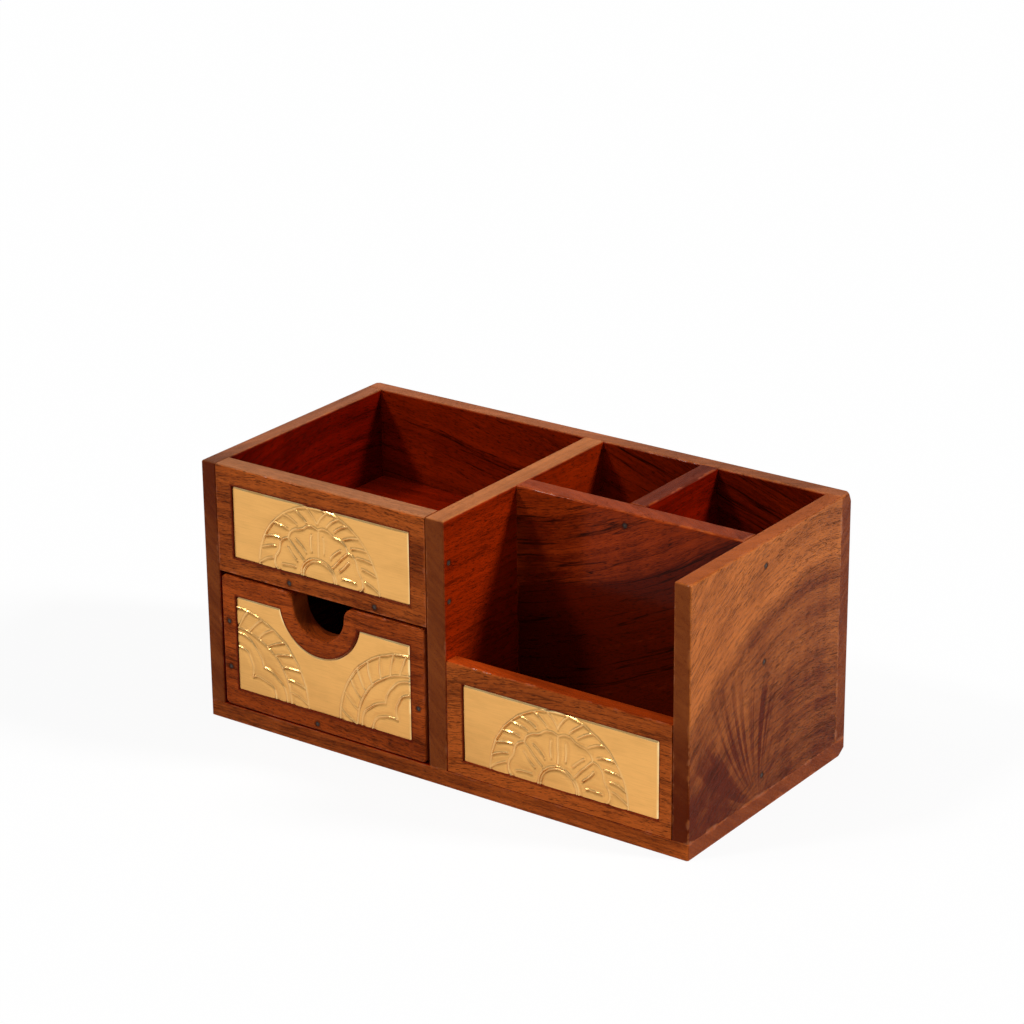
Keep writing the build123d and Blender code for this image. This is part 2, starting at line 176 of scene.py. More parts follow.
# ---- Wood ----
def make_rosewood_grain(name):
    """Colour, height and gloss of rosewood. The vector is in mm: along, across and through."""
    nodes, given, result = new_group(
        name,
        "ShaderNodeTree",
        [
            ("Vector", "vector", (0, 0, 0)),
            ("Light", "color", (0.36, 0.12, 0.03, 1)),
            ("Dark", "color", (0.10, 0.025, 0.006, 1)),
            ("Line", "color", (0.02, 0.006, 0.003, 1)),
            ("Arch Place", "float", 0.0),
            ("Arch", "float", 0.0),
            ("Ring Slope", "float", 0.9),
            ("Fan Place", "vector", (0, 0, 0)),
            ("Fan Middle", "vector", (0, 0, 0)),
            ("Fan Reach", "float", 14.0),
            ("Fan", "float", 0.0),
            ("Heart Edge", "float", 0.0),
            ("Heart", "float", 0.0),
            ("Heart Band", "float", 0.0),
            ("Patch Place", "vector", (0, 0, 0)),
            ("Patch Reach", "float", 20.0),
            ("Patch", "float", 0.0),
            ("Waver", "float", 4.0),
            ("Lines", "float", 0.6),
            ("Bands", "float", 0.28),
            ("Figure", "float", 1.0),
            ("Seed", "float", 0.0),
        ],
        [
            ("Color", "color"),
            ("Depth", "float"),
            ("Height", "float"),
            ("Roughness", "float"),
        ],
    )
    vector = given["Vector"]
    along, across, through = nodes.split(vector)
    shift = nodes.scaled((97.0, 57.0, 31.0), given["Seed"])

    # The ring field: grain lines lie where it is level
    sideways = nodes.math("SUBTRACT", along, given["Arch Place"])
    arched = nodes.math("MULTIPLY", nodes.math("MULTIPLY", sideways, sideways), given["Arch"])
    broad = nodes.vector("MULTIPLY", nodes.vector("ADD", vector, shift), (0.4, 1, 1))
    waver = nodes.math("SUBTRACT", nodes.noise(broad, 0.045, 2.0), 0.5)
    level = nodes.sum(across, arched, nodes.math("MULTIPLY", waver, given["Waver"]))
    ring = nodes.math("ADD", level, nodes.math("MULTIPLY", through, given["Ring Slope"]))
    flow = nodes.vector("ADD", nodes.join(along, ring, through), shift)

    zones = nodes.noise(nodes.vector("MULTIPLY", flow, (0.006, 0.075, 0.02)), 1.0, 1.0)
    bands = nodes.noise(nodes.vector("MULTIPLY", flow, (0.012, 0.42, 0.1)), 1.0, 3.0, 0.65)
    ribbon = nodes.noise(nodes.vector("MULTIPLY", flow, (0.06, 0.016, 0.03)), 1.0, 1.0)
    mottle = nodes.noise(nodes.vector("MULTIPLY", flow, (0.16, 0.34, 0.2)), 1.0, 3.0, 0.6)
    fibres = nodes.noise(nodes.vector("MULTIPLY", flow, (0.26, 3.6, 3.6)), 1.0, 3.0, 0.75)
    specks = nodes.noise(nodes.vector("MULTIPLY", flow, (0.42, 4.8, 4.8)), 1.0, 1.0)
    pores = nodes.spread(nodes.math("ADD", specks, nodes.math("MULTIPLY", bands, 0.3)), 0.715, 0.80)
    veins = nodes.noise(nodes.vector("MULTIPLY", flow, (0.009, 0.25, 0.08)), 1.0, 2.0, 0.55)
    vein_lines = nodes.bell(nodes.math("SUBTRACT", veins, 0.5), 0.011)
    broken = nodes.spread(nodes.math("ADD", fibres, nodes.math("MULTIPLY", zones, 0.6)), 0.62, 0.84)
    lines = nodes.math("MULTIPLY", nodes.math("MULTIPLY", vein_lines, broken), given["Lines"])

    # Stripes that fan out from a place, seen round their middle
    fan_along, fan_across, _ = nodes.split(nodes.vector("SUBTRACT", vector, given["Fan Place"]))
    fan_length = nodes.vector("LENGTH", nodes.join(fan_along, fan_across, 0.0), out="Value")
    bend = nodes.math("MULTIPLY", fan_length, 0.004)
    turn = nodes.math("ADD", nodes.math("ARCTAN2", fan_across, fan_along), bend)
    stripes = nodes.noise(nodes.join(nodes.math("MULTIPLY", turn, 9.0), 0.5, given["Seed"]), 1.0, 2.0)
    fan_way = nodes.vector("SUBTRACT", vector, given["Fan Middle"])
    fan_far = nodes.vector("LENGTH", nodes.vector("MULTIPLY", fan_way, (1, 1, 0)), out="Value")
    fan_seen = nodes.math("MULTIPLY", nodes.bell(fan_far, given["Fan Reach"]), given["Fan"])
    fan = nodes.math("MULTIPLY", nodes.spread(stripes, 0.42, 0.60, -0.50, 0.8), fan_seen)

    # Darker heartwood under its edge, and a darker patch, which two boards use as painted shade
    past_edge = nodes.math("SUBTRACT", given["Heart Edge"], level)
    heart = nodes.math("MULTIPLY", nodes.spread(past_edge, -3.0, 5.0), given["Heart"])
    band = nodes.math("MULTIPLY", nodes.bell(past_edge, 4.5), given["Heart Band"])
    patch_way = nodes.vector("SUBTRACT", vector, given["Patch Place"])
    patch_far = nodes.vector("LENGTH", nodes.vector("MULTIPLY", patch_way, (1, 1, 0)), out="Value")
    patch = nodes.math("MULTIPLY", nodes.bell(patch_far, given["Patch Reach"]), given["Patch"])

    tone = nodes.sum(
        nodes.math("MULTIPLY", nodes.spread(zones, 0.36, 0.64), 0.32),
        nodes.math("MULTIPLY", nodes.spread(bands, 0.32, 0.68), given["Bands"]),
        nodes.math("MULTIPLY", nodes.spread(ribbon, 0.44, 0.58), 0.14),
        nodes.math("MULTIPLY", nodes.math("SUBTRACT", mottle, 0.5), 0.5),
        nodes.math("MULTIPLY", nodes.math("SUBTRACT", fibres, 0.5), 1.15),
        fan,
        heart,
        band,
        patch,
    )
    depth = nodes.math("MULTIPLY", tone, given["Figure"], clamp=True)
    plain = nodes.mix(depth, given["Light"], given["Dark"])
    marks = nodes.math("MAXIMUM", lines, nodes.math("MULTIPLY", pores, 0.7), clamp=True)
    nodes.feed(result["Color"], nodes.mix(marks, plain, given["Line"]))
    nodes.feed(result["Depth"], nodes.math("MAXIMUM", depth, marks))
    height = nodes.math("SUBTRACT", nodes.math("MULTIPLY", fibres, 0.35), marks)
    nodes.feed(result["Height"], height)
    nodes.feed(result["Roughness"], nodes.spread(nodes.math("ADD", fibres, marks), 0.3, 1.4))


def make_sanded_edges(name):
    """How near a point of a board is to one of its edges, unevenly: 1 on the edge."""
    nodes, given, result = new_group(
        name,
        "ShaderNodeTree",
        [("Low", "vector", (0, 0, 0)), ("High", "vector", (1, 1, 1)), ("Reach", "float", MM)],
        [("Edge", "float")],
    )
    place = nodes.add("ShaderNodeTexCoord").outputs["Object"]
    from_low = nodes.vector("SUBTRACT", place, given["Low"])
    from_high = nodes.vector("SUBTRACT", given["High"], place)
    x, y, z = nodes.split(nodes.vector("MINIMUM", from_low, from_high))
    smaller = nodes.math("MINIMUM", x, y)
    larger = nodes.math("MAXIMUM", x, y)
    second = nodes.math("MAXIMUM", smaller, nodes.math("MINIMUM", larger, z))
    uneven = nodes.spread(nodes.noise(place, 120.0, 4.0, 0.65), 0.42, 0.66, 0.05, 1.4)
    reach = nodes.math("MULTIPLY", given["Reach"], uneven)
    nodes.feed(result["Edge"], nodes.spread(nodes.math("DIVIDE", second, reach), 0.2, 1.3, 1.0, 0.0))


def make_recess_stain(name):
    """A rough red stain that crept out of a plate's recess into the wood of a front."""
    nodes, given, result = new_group(
        name,
        "ShaderNodeTree",
        [
            ("Low", "vector", (0, 0, 0)),
            ("High", "vector", (1, 1, 1)),
            ("Scoop", "vector", (0, 0, 0)),
            ("Scoop Radius", "float", 0.0),
            ("Reach", "float", MM),
        ],
        [("Stain", "float")],
    )
    place = nodes.add("ShaderNodeTexCoord").outputs["Object"]
    below = nodes.vector("SUBTRACT", given["Low"], place)
    above = nodes.vector("SUBTRACT", place, given["High"])
    x, _, z = nodes.split(nodes.vector("MAXIMUM", below, above))
    level = nodes.vector("MULTIPLY", nodes.vector("SUBTRACT", place, given["Scoop"]), (1, 0, 1))
    far = nodes.vector("LENGTH", level, out="Value")
    in_scoop = nodes.math("SUBTRACT", given["Scoop Radius"], far)
    outside = nodes.math("MAXIMUM", nodes.math("MAXIMUM", x, z), in_scoop)
    ragged = nodes.math("ADD", nodes.noise(place, 900.0, 4.0, 0.7), -0.05)
    share = nodes.math("DIVIDE", outside, nodes.math("MULTIPLY", given["Reach"], ragged))
    nodes.feed(result["Stain"], nodes.spread(share, 0.5, 1.6, 1.0, 0.0))


def make_nail_stain(name):
    """The dark ring that the rust of one nail leaves in the wood."""
    nodes, given, result = new_group(
        name,
        "ShaderNodeTree",
        [("Place", "vector", (0, 0, 0)), ("Radius", "float", MM)],
        [("Stain", "float")],
    )
    place = nodes.add("ShaderNodeTexCoord").outputs["Object"]
    far = nodes.vector("DISTANCE", place, given["Place"], out="Value")
    ragged = nodes.math("ADD", nodes.noise(place, 1200.0, 2.0), 0.6)
    share = nodes.math("DIVIDE", far, nodes.math("MULTIPLY", given["Radius"], ragged))
    nodes.feed(result["Stain"], nodes.spread(share, 0.9, 1.5, 1.0, 0.0))


def make_faces_towards(name):
    """1 on faces of a board that point in a direction, and 0 on the others."""
    nodes, given, result = new_group(
        name, "ShaderNodeTree", [("Direction", "vector", (0, 0, 1))], [("Facing", "float")]
    )
    normal = nodes.add("ShaderNodeTexCoord").outputs["Normal"]
    facing = nodes.vector("DOT_PRODUCT", normal, given["Direction"], out="Value")
    nodes.feed(result["Facing"], nodes.spread(facing, 0.45, 0.9))


class Cut:
    """How a board was cut from the log: the directions that lie along, across and through it."""

    def __init__(self, along, across):
        self.along = AXES[along]
        self.across = AXES[across]
        self.ends = AXES[along]

    def turn(self):
        """The turn that brings the board's directions to X, Y and Z."""
        through = self.along.cross(self.across)
        return Matrix((self.along, self.across, through)).to_euler()

    def place(self, point):
        """A point of the stand, in mm, in the board's own directions."""
        point = Vector(point)
        return point.dot(self.along), point.dot(self.across), point.dot(self.along.cross(self.across))


ENDS_LEFT_AND_RIGHT = Cut("X", "Z")  # fronts, back and partition
ENDS_FRONT_AND_BACK = Cut("Y", "Z")  # sides and dividers
LYING_ALONG = Cut("X", "Y")  # base and floors

# The middle and the radius of the round piece that the drawer's plate leaves out round its scoop
SCOOP = (Vector((-50.95, -49.6, 52.0)) * MM, 17.5 * MM)

# Stains of the wood, as its light and its dark grain
STAINS = {
    "amber": ((0.56, 0.150, 0.028), (0.170, 0.030, 0.006)),
    "tan": ((0.60, 0.170, 0.036), (0.120, 0.012, 0.001)),
    "brown": ((0.66, 0.140, 0.022), (0.170, 0.022, 0.004)),
    "red": ((0.62, 0.108, 0.015), (0.160, 0.017, 0.003)),
}
# Painted shade that darkens and reddens the faces inside the compartments; the deeper one
# paints the divider's shadow on the tray's left wall
INNER_SHADE = (0.72, 0.17, 0.03)
DEEP_INNER_SHADE = (0.40, 0.04, 0.008)
LEFT, RIGHT = -AXES["X"], AXES["X"]
FRONTWARDS, BACKWARDS = -AXES["Y"], AXES["Y"]
UP, DOWN = AXES["Z"], -AXES["Z"]


def rosewood(node_name, cut, stain, seed, inside=(), tint=INNER_SHADE, recess=None, scoop=None, **figure):
    """Finishes a board of the frame: fine arrises, grain in its own direction, and edges that are
    lighter with sanding wear and partly with a painted highlight.

    inside lists the directions of the faces that look into the compartments; a colour multiplies
    them as painted shade, under a coat of lacquer. A top colour gives the upward faces a colour
    of their own, sanded wood with painted light and sheen from above; nails is a group of pins
    in the board.
    """
    wood = bpy.context.scene.pen_stand_wood
    top, nails = figure.pop("top", None), figure.pop("nails", None)
    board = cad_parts[node_name]
    material = bpy.data.materials.new(f"rosewood {node_name.replace('_', ' ')}")
    material.use_nodes = True
    nodes = NodeBuilder(material.node_tree)
    shader = material.node_tree.nodes["Principled BSDF"]

    def faces(*directions):
        mask = 0.0
        for direction in directions:
            group = use_group(nodes, "faces towards", make_faces_towards, Direction=direction)
            mask = nodes.math("MAXIMUM", mask, group["Facing"])
        return mask

    coordinates = nodes.add("ShaderNodeTexCoord")
    inputs = {"Vector": coordinates.outputs["Object"], "Rotation": cut.turn(), "Scale": [1 / MM] * 3}
    vector = nodes.add("ShaderNodeMapping", inputs).outputs[0]
    light, dark = STAINS[stain]
    for key in ("Fan_Place", "Fan_Middle", "Patch_Place"):
        if key in figure:
            figure[key] = cut.place(figure[key])
    grain = use_group(
        nodes,
        "rosewood grain",
        make_rosewood_grain,
        Vector=vector,
        Light=(*light, 1),
        Dark=(*dark, 1),
        Line=(*wood.line_color, 1),
        Seed=float(seed),
        **figure,
    )
    color = grain["Color"]
    ends = nodes.mix(grain["Depth"], (*wood.end_light, 1), (*wood.end_dark, 1))
    color = nodes.mix(nodes.math("MULTIPLY", faces(cut.ends, -cut.ends), 0.8), color, ends)
    # Painted light and sheen from above, with the sanding: the upward faces take a colour of their own
    if top:
        sanded = nodes.mix(grain["Depth"], (*top, 1), (*(0.38 * part for part in top), 1))
        color = nodes.mix(nodes.math("MULTIPLY", faces(UP), 0.85), color, sanded)
    low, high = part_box(node_name)
    box = {"Low": low, "High": high}
    edge = use_group(nodes, "sanded edges", make_sanded_edges, Reach=wood.edge_reach, **box)["Edge"]
    # Lighter along the edges: sanding wear, and partly a painted highlight on the arrises
    color = nodes.mix(nodes.math("MULTIPLY", edge, wood.edge_wear_and_highlight), color, (*light, 1))
    crumbs = nodes.spread(nodes.noise(coordinates.outputs["Object"], 420.0, 2.0), 0.45, 0.55)
    lacquer = nodes.math("MULTIPLY", nodes.math("MULTIPLY", edge, crumbs), wood.edge_lacquer)
    # Painted shade: the faces inside the compartments are darkened and reddened by a multiplied colour
    if inside:
        mask = faces(*inside)
        painted_shade_mix = {0: mask, 6: color, 7: (*tint, 1)}
        color = nodes.add("ShaderNodeMix", painted_shade_mix, data_type="RGBA", blend_type="MULTIPLY").outputs[2]
        lacquer = nodes.math("MAXIMUM", lacquer, nodes.math("MULTIPLY", mask, 0.08))
    if recess is not None:
        places = {"Low": recess[0], "High": recess[1], "Reach": wood.stain_reach}
        if scoop is not None:
            places |= {"Scoop": scoop[0], "Scoop_Radius": scoop[1]}
        crept = use_group(nodes, "recess stain", make_recess_stain, **places)["Stain"]
        color = nodes.mix(nodes.math("MULTIPLY", crept, 0.8), color, (*wood.stain_color, 1))
    if nails:
        rings = 0.0
        for place, _ in nail_heads(nails):
            spot = {"Place": place, "Radius": wood.nail_stain}
            ring = use_group(nodes, "nail stain", make_nail_stain, **spot)["Stain"]
            rings = nodes.math("MAXIMUM", rings, ring)
        color = nodes.mix(nodes.math("MULTIPLY", rings, 0.6), color, (*wood.line_color, 1))
    roughness = nodes.spread(grain["Roughness"], 0.0, 1.0, wood.gloss_low, wood.gloss_high)
    hollows = nodes.noise(coordinates.outputs["Object"], 70.0, 1.0)
    height = nodes.math("ADD", grain["Height"], nodes.math("MULTIPLY", hollows, 3.0))
    bump = nodes.add(
        "ShaderNodeBump", {"Height": height, "Distance": wood.grain_depth, "Strength": 0.8}
    )
    nodes.feed(shader.inputs["Base Color"], color)
    nodes.feed(shader.inputs["Roughness"], roughness)
    nodes.feed(shader.inputs["Coat Weight"], lacquer)
    nodes.feed(shader.inputs["Normal"], bump.outputs["Normal"])
    shader.inputs["Specular IOR Level"].default_value = 0.045
    shader.inputs["Specular Tint"].default_value = (*wood.gloss_tint, 1)
    shader.inputs["Coat Roughness"].default_value = 0.15
    board.data.materials.clear()
    board.data.materials.append(material)

    weld = board.modifiers.new("joined corners", "WELD")
    weld.merge_threshold = 0.01 * MM
    flat = board.modifiers.new("whole faces", "DECIMATE")
    flat.decimate_type = "DISSOLVE"
    flat.angle_limit = math.radians(0.5)
    bevel = board.modifiers.new("fine arris", "BEVEL")
    bevel.width = wood.arris
    bevel.segments = 1
    bevel.limit_method = "ANGLE"
    bevel.angle_limit = math.radians(50)
    bevel.harden_normals = True
    return board


class PenStandWood(bpy.types.PropertyGroup):
    """Finish that all boards share."""

    line_color: FloatVectorProperty(
        name="Grain line",
        description="Colour of the dark veins and pores",
        subtype="COLOR",
        default=(0.022, 0.005, 0.002),
    )
    end_light: FloatVectorProperty(
        name="End grain",
        description="Light colour of the boards' ends, which soak up more stain",
        subtype="COLOR",
        default=(0.27, 0.058, 0.013),
    )
    end_dark: FloatVectorProperty(
        name="Dark end grain",
        description="Dark colour of the boards' ends",
        subtype="COLOR",
        default=(0.14, 0.018, 0.004),
    )
    stain_color: FloatVectorProperty(
        name="Recess stain",
        description="Colour that crept out under the plates",
        subtype="COLOR",
        default=(0.15, 0.012, 0.004),
    )
    gloss_tint: FloatVectorProperty(
        name="Lacquer tint",
        description="Colour of what the lacquer mirrors",
        subtype="COLOR",
        default=(1.0, 0.55, 0.30),
    )
    edge_reach: FloatProperty(
        name="Edge reach",
        description="How far the sanding shows beside an edge",
        subtype="DISTANCE",
        default=0.8 * MM,
    )
    # Partly a painted highlight on the arrises, besides the sanding wear
    edge_wear_and_highlight: FloatProperty(
        name="Edge wear",
        description="How much lighter the wood is along its edges",
        subtype="FACTOR",
        default=0.4,
    )
    edge_lacquer: FloatProperty(
        name="Edge lacquer",
        description="How thick the lacquer built up along the edges",
        subtype="FACTOR",
        default=0.35,
    )
    stain_reach: FloatProperty(
        name="Stain reach",
        description="How far the stain crept from a recess",
        subtype="DISTANCE",
        default=1.4 * MM,
    )
    nail_stain: FloatProperty(
        name="Nail stain",
        description="Radius of the dark ring round a nail",
        subtype="DISTANCE",
        default=1.05 * MM,
    )
    gloss_low: FloatProperty(
        name="Smoothest",
        description="Roughness of the lacquer on dense grain",
        subtype="FACTOR",
        default=0.26,
    )
    gloss_high: FloatProperty(
        name="Roughest",
        description="Roughness of the lacquer over open pores",
        subtype="FACTOR",
        default=0.5,
    )
    grain_depth: FloatProperty(
        name="Grain depth",
        description="Depth of the open grain",
        subtype="DISTANCE",
        default=0.07 * MM,
    )
    arris: FloatProperty(
        name="Arris",
        description="Width of the fine bevel on sharp edges",
        subtype="DISTANCE",
        default=0.3 * MM,
    )


class PENSTAND_OT_outer_boards(bpy.types.Operator):
    """Finish the base, the sides and the back"""

    bl_idname = "penstand.outer_boards"
    bl_label = "Outer Boards"

    def execute(self, context):
        # Each top colour is sanded wood with painted light and sheen from above
        rosewood("base_board", LYING_ALONG, "brown", 1, inside=[UP], Ring_Slope=1.6)
        rosewood(
            "left_side",
            ENDS_FRONT_AND_BACK,
            "amber",
            2,
            inside=[RIGHT],
            # Painted shadow of the divider on the tray's left wall
            tint=DEEP_INNER_SHADE,
            nails="left_side_nails",
            top=(0.46, 0.150, 0.065),
            Arch_Place=20.0,
            Arch=0.003,
            Patch_Place=(0, -50, 90),
            Patch_Reach=16.0,
            Patch=0.7,
        )
        rosewood(
            "right_side",
            ENDS_FRONT_AND_BACK,
            "tan",
            3,
            inside=[LEFT],
            nails="right_side_nails",
            top=(0.46, 0.100, 0.020),
            Arch_Place=24.0,
            Arch=0.0055,
            Fan_Place=(0, -6, 2),
            Fan_Middle=(0, -20, 32),
            Fan_Reach=19.0,
            Fan=0.75,
            Heart_Edge=74.0,
            Heart=0.46,
            Heart_Band=0.14,
            Patch_Place=(0, -34, 14),
            Patch_Reach=34.0,
            Patch=0.34,
            Waver=4.0,
            Bands=0.14,
            Figure=0.9,
            Ring_Slope=0.5,
        )
        rosewood(
            "back_panel",
            ENDS_LEFT_AND_RIGHT,
            "amber",
            4,
            inside=[FRONTWARDS],
            nails="back_nails",
            top=(0.50, 0.150, 0.058),
            Arch_Place=-140.0,
            Arch=0.0010,
            # This darker patch paints the shade in the wells; it shows on the back's outer face too
            Patch_Place=(52, 0, 62),
            Patch_Reach=40.0,
            Patch=0.4,
            Waver=9.0,
            Lines=0.9,
        )
        return {"FINISHED"}


class PENSTAND_OT_inner_boards(bpy.types.Operator):
    """Finish the dividers, the partition and the tray floor"""

    bl_idname = "penstand.inner_boards"
    bl_label = "Inner Boards"

    def execute(self, context):
        # Each top colour is sanded wood with painted light and sheen from above
        rosewood(
            "centre_divider",
            ENDS_FRONT_AND_BACK,
            "amber",
            5,
            inside=[LEFT, RIGHT],
            nails="divider_nails",
            top=(0.66, 0.215, 0.066),
            Figure=0.8,
            Lines=0.5,
        )
        rosewood(
            "cross_partition",
            ENDS_LEFT_AND_RIGHT,
            "brown",
            6,
            inside=[FRONTWARDS, BACKWARDS],
            # Painted shade on both faces of the partition
            tint=(0.80, 0.42, 0.26),
            nails="partition_nails",
            top=(0.40, 0.055, 0.014),
            Arch_Place=-27.5,
            Arch=-0.0028,
            Heart_Edge=57.5,
            Heart=0.95,
            # This darker patch beside the divider is painted shade: the divider's shadow
            Patch_Place=(14, 0, 78),
            Patch_Reach=18.0,
            Patch=0.5,
            Waver=4.0,
            Lines=0.9,
        )
        # Painted shade on the rear divider's faces in the wells, and on the tray floor
        rear = {"inside": [LEFT, RIGHT], "tint": (0.52, 0.09, 0.015), "top": (0.17, 0.020, 0.006)}
        rosewood("rear_divider", ENDS_FRONT_AND_BACK, "red", 7, **rear)
        floor = {"inside": [UP, DOWN], "tint": (0.56, 0.11, 0.02), "Figure": 0.8}
        rosewood("tray_floor", LYING_ALONG, "brown", 8, **floor)
        return {"FINISHED"}


class PENSTAND_OT_fronts(bpy.types.Operator):
    """Finish the three fronts that carry the plates"""

    bl_idname = "penstand.fronts"
    bl_label = "Fronts"

    def execute(self, context):
        # Each top colour is sanded wood with painted light and sheen from above
        rosewood(
            "tray_front",
            ENDS_LEFT_AND_RIGHT,
            "brown",
            9,
            inside=[BACKWARDS],
            recess=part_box("tray_plate"),
            nails="tray_front_nails",
            top=(0.50, 0.190, 0.075),
            Arch_Place=-50.0,
            Arch=0.0008,
            Patch_Place=(-8, 0, 80),
            Patch_Reach=9.0,
            Patch=0.5,
        )
        rosewood(
            "low_front",
            ENDS_LEFT_AND_RIGHT,
            "brown",
            10,
            inside=[BACKWARDS],
            recess=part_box("low_plate"),
            top=(0.60, 0.060, 0.004),
            Ring_Slope=1.4,
            Arch_Place=90.0,
            Arch=0.0012,
            Patch_Place=(24, 0, 4),
            Patch_Reach=26.0,
            Patch=-0.45,
            Waver=8.0,
        )
        rosewood(
            "drawer_front",
            ENDS_LEFT_AND_RIGHT,
            "red",
            11,
            inside=[BACKWARDS],
            recess=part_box("drawer_plate"),
            scoop=SCOOP,
            nails="drawer_front_nails",
            Waver=9.0,
        )
        return {"FINISHED"}


class PENSTAND_OT_drawer_box(bpy.types.Operator):
    """Finish the box behind the drawer front"""

    bl_idname = "penstand.drawer_box"
    bl_label = "Drawer Box"

    def execute(self, context):
        rosewood("drawer_bottom", LYING_ALONG, "red", 12)
        rosewood("drawer_left_side", ENDS_FRONT_AND_BACK, "red", 13)
        rosewood("drawer_right_side", ENDS_FRONT_AND_BACK, "red", 14)
        rosewood("drawer_back", ENDS_LEFT_AND_RIGHT, "red", 15)
        return {"FINISHED"}


# ---- Nails ----
# The groups of pins, their bodies, and the way that their heads point; the pins in the drawer's
# sides point away from its middle
NAIL_GROUPS = {
    "tray_front_nails": ("case", FRONTWARDS),
    "left_side_nails": ("case", LEFT),
    "divider_nails": ("case", RIGHT),
    "right_side_nails": ("case", RIGHT),
    "partition_nails": ("case", FRONTWARDS),
    "back_nails": ("case", BACKWARDS),
    "base_nails": ("case", DOWN),
    "drawer_front_nails": ("drawer", FRONTWARDS),
    "drawer_side_nails": ("drawer", None),
    "drawer_bottom_nails": ("drawer", DOWN),
}


def nail_heads(group):
    """Where the heads of a group of pins are, and the way that each one points."""
    bm = bmesh.new()
    bm.from_mesh(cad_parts[group].data)
    bmesh.ops.remove_doubles(bm, verts=bm.verts, dist=0.01 * MM)
    low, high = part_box(group)
    heads = []
    left = set(bm.verts)
    while left:
        pin, reached = set(), [left.pop()]
        while reached:
            vert = reached.pop()
            pin.add(vert)
            reached += [other for e in vert.link_edges for other in e.verts if other not in pin]
        left -= pin
        middle = sum((vert.co for vert in pin), Vector()) / len(pin)
        outward = NAIL_GROUPS[group][1]
        if outward is None:
            outward = RIGHT if middle.x > (low.x + high.x) / 2 else LEFT
        reach = max(vert.co.dot(outward) for vert in pin)
        heads.append((middle + outward * (reach - middle.dot(outward)), outward))
    bm.free()
    return sorted(heads, key=lambda head: tuple(head[0]))


def make_nail_head(name):
    """Sunk, hammered nail heads on points, each turned to its point's normal."""
    nodes, given, result = new_group(
        name,
        "GeometryNodeTree",
        [
            ("Points", "geometry", None),
            ("Radius", "float", 0.85 * MM),
            ("Sunk", "float", 0.12 * MM),
            ("Crown", "float", 0.05 * MM),
            ("Length", "float", 2.0 * MM),
            ("Material", "material", None),
            ("Seed", "int", 0),
        ],
        [("Heads", "geometry")],
    )
    pin = nodes.add(
        "GeometryNodeMeshCylinder",
        {
            "Vertices": 24,
            "Side Segments": 2,
            "Fill Segments": 5,
            "Radius": given["Radius"],
            "Depth": given["Length"],
        },
        fill_type="TRIANGLE_FAN",
    ).outputs["Mesh"]
    x, y, z = nodes.split(nodes.add("GeometryNodeInputPosition").outputs[0])
    far = nodes.vector("LENGTH", nodes.join(x, y, 0.0), out="Value")
    share = nodes.math("DIVIDE", far, given["Radius"])
    at_top = nodes.math("GREATER_THAN", z, nodes.math("MULTIPLY", given["Length"], 0.49))
    bulge = nodes.math("MULTIPLY", nodes.spread(share, 0.0, 1.0, 1.0, 0.0), given["Crown"])
    down = nodes.sum(
        nodes.math("MULTIPLY", given["Length"], -0.5),
        nodes.math("MULTIPLY", given["Sunk"], -1.0),
        nodes.math("MULTIPLY", at_top, bulge),
    )
    shaped = nodes.add(
        "GeometryNodeSetPosition", {"Geometry": pin, "Offset": nodes.join(0.0, 0.0, down)}
    ).outputs[0]
    marked = nodes.add(
        "GeometryNodeStoreNamedAttribute",
        {"Geometry": shaped, "Name": "rim", "Value": share},
        data_type="FLOAT",
        domain="POINT",
    ).outputs[0]
    normal = nodes.add("GeometryNodeInputNamedAttribute", {"Name": "outward"}, data_type="FLOAT_VECTOR")
    turned = nodes.add(
        "FunctionNodeAlignRotationToVector", {"Vector": normal.outputs[0]}, axis="Z"
    ).outputs[0]
    placed = nodes.add(
        "GeometryNodeInstanceOnPoints",
        {"Points": given["Points"], "Instance": marked, "Rotation": turned},
    ).outputs[0]
    real = nodes.add("GeometryNodeRealizeInstances", {"Geometry": placed}).outputs[0]
    finished = nodes.add("GeometryNodeSetMaterial", {"Geometry": real, "Material": given["Material"]})
    nodes.feed(result["Heads"], finished.outputs[0])


def rusty_steel():
    """Nail heads: worn grey in the middle, brown rust towards the rim."""
    look = bpy.context.scene.pen_stand_nails
    material = bpy.data.materials.new("rusty steel")
    material.use_nodes = True
    nodes = NodeBuilder(material.node_tree)
    shader = material.node_tree.nodes["Principled BSDF"]
    place = nodes.add("ShaderNodeTexCoord").outputs["Object"]
    rim = nodes.add("ShaderNodeAttribute", attribute_name="rim").outputs["Fac"]
    blotches = nodes.noise(place, 1500.0, 3.0, 0.6)
    rust = nodes.spread(nodes.math("ADD", rim, blotches), 0.5, 1.1)
    nodes.feed(
        shader.inputs["Base Color"], nodes.mix(rust, (*look.color, 1), (*look.rust_color, 1))
    )
    nodes.feed(shader.inputs["Metallic"], nodes.spread(rust, 0.0, 1.0, 0.7, 0.0))
    nodes.feed(shader.inputs["Roughness"], nodes.spread(rust, 0.0, 1.0, 0.5, 0.75))
    bump = nodes.add("ShaderNodeBump", {"Height": blotches, "Distance": 0.05 * MM})
    nodes.feed(shader.inputs["Normal"], bump.outputs["Normal"])
    return material


class PenStandNails(bpy.types.PropertyGroup):
    """Size and look of the nail heads."""

    radius: FloatProperty(
        name="Radius",
        description="Radius of a nail head",
        subtype="DISTANCE",
        default=0.86 * MM,
    )
    sunk: FloatProperty(
        name="Sunk",
        description="How far a head lies below the wood",
        subtype="DISTANCE",
        default=0.1 * MM,
    )
    color: FloatVectorProperty(
        name="Steel",
        description="Colour of the worn steel",
        subtype="COLOR",
        default=(0.11, 0.075, 0.055),
    )
    rust_color: FloatVectorProperty(
        name="Rust",
        description="Colour of the rust towards the rim",
        subtype="COLOR",
        default=(0.035, 0.014, 0.008),
    )


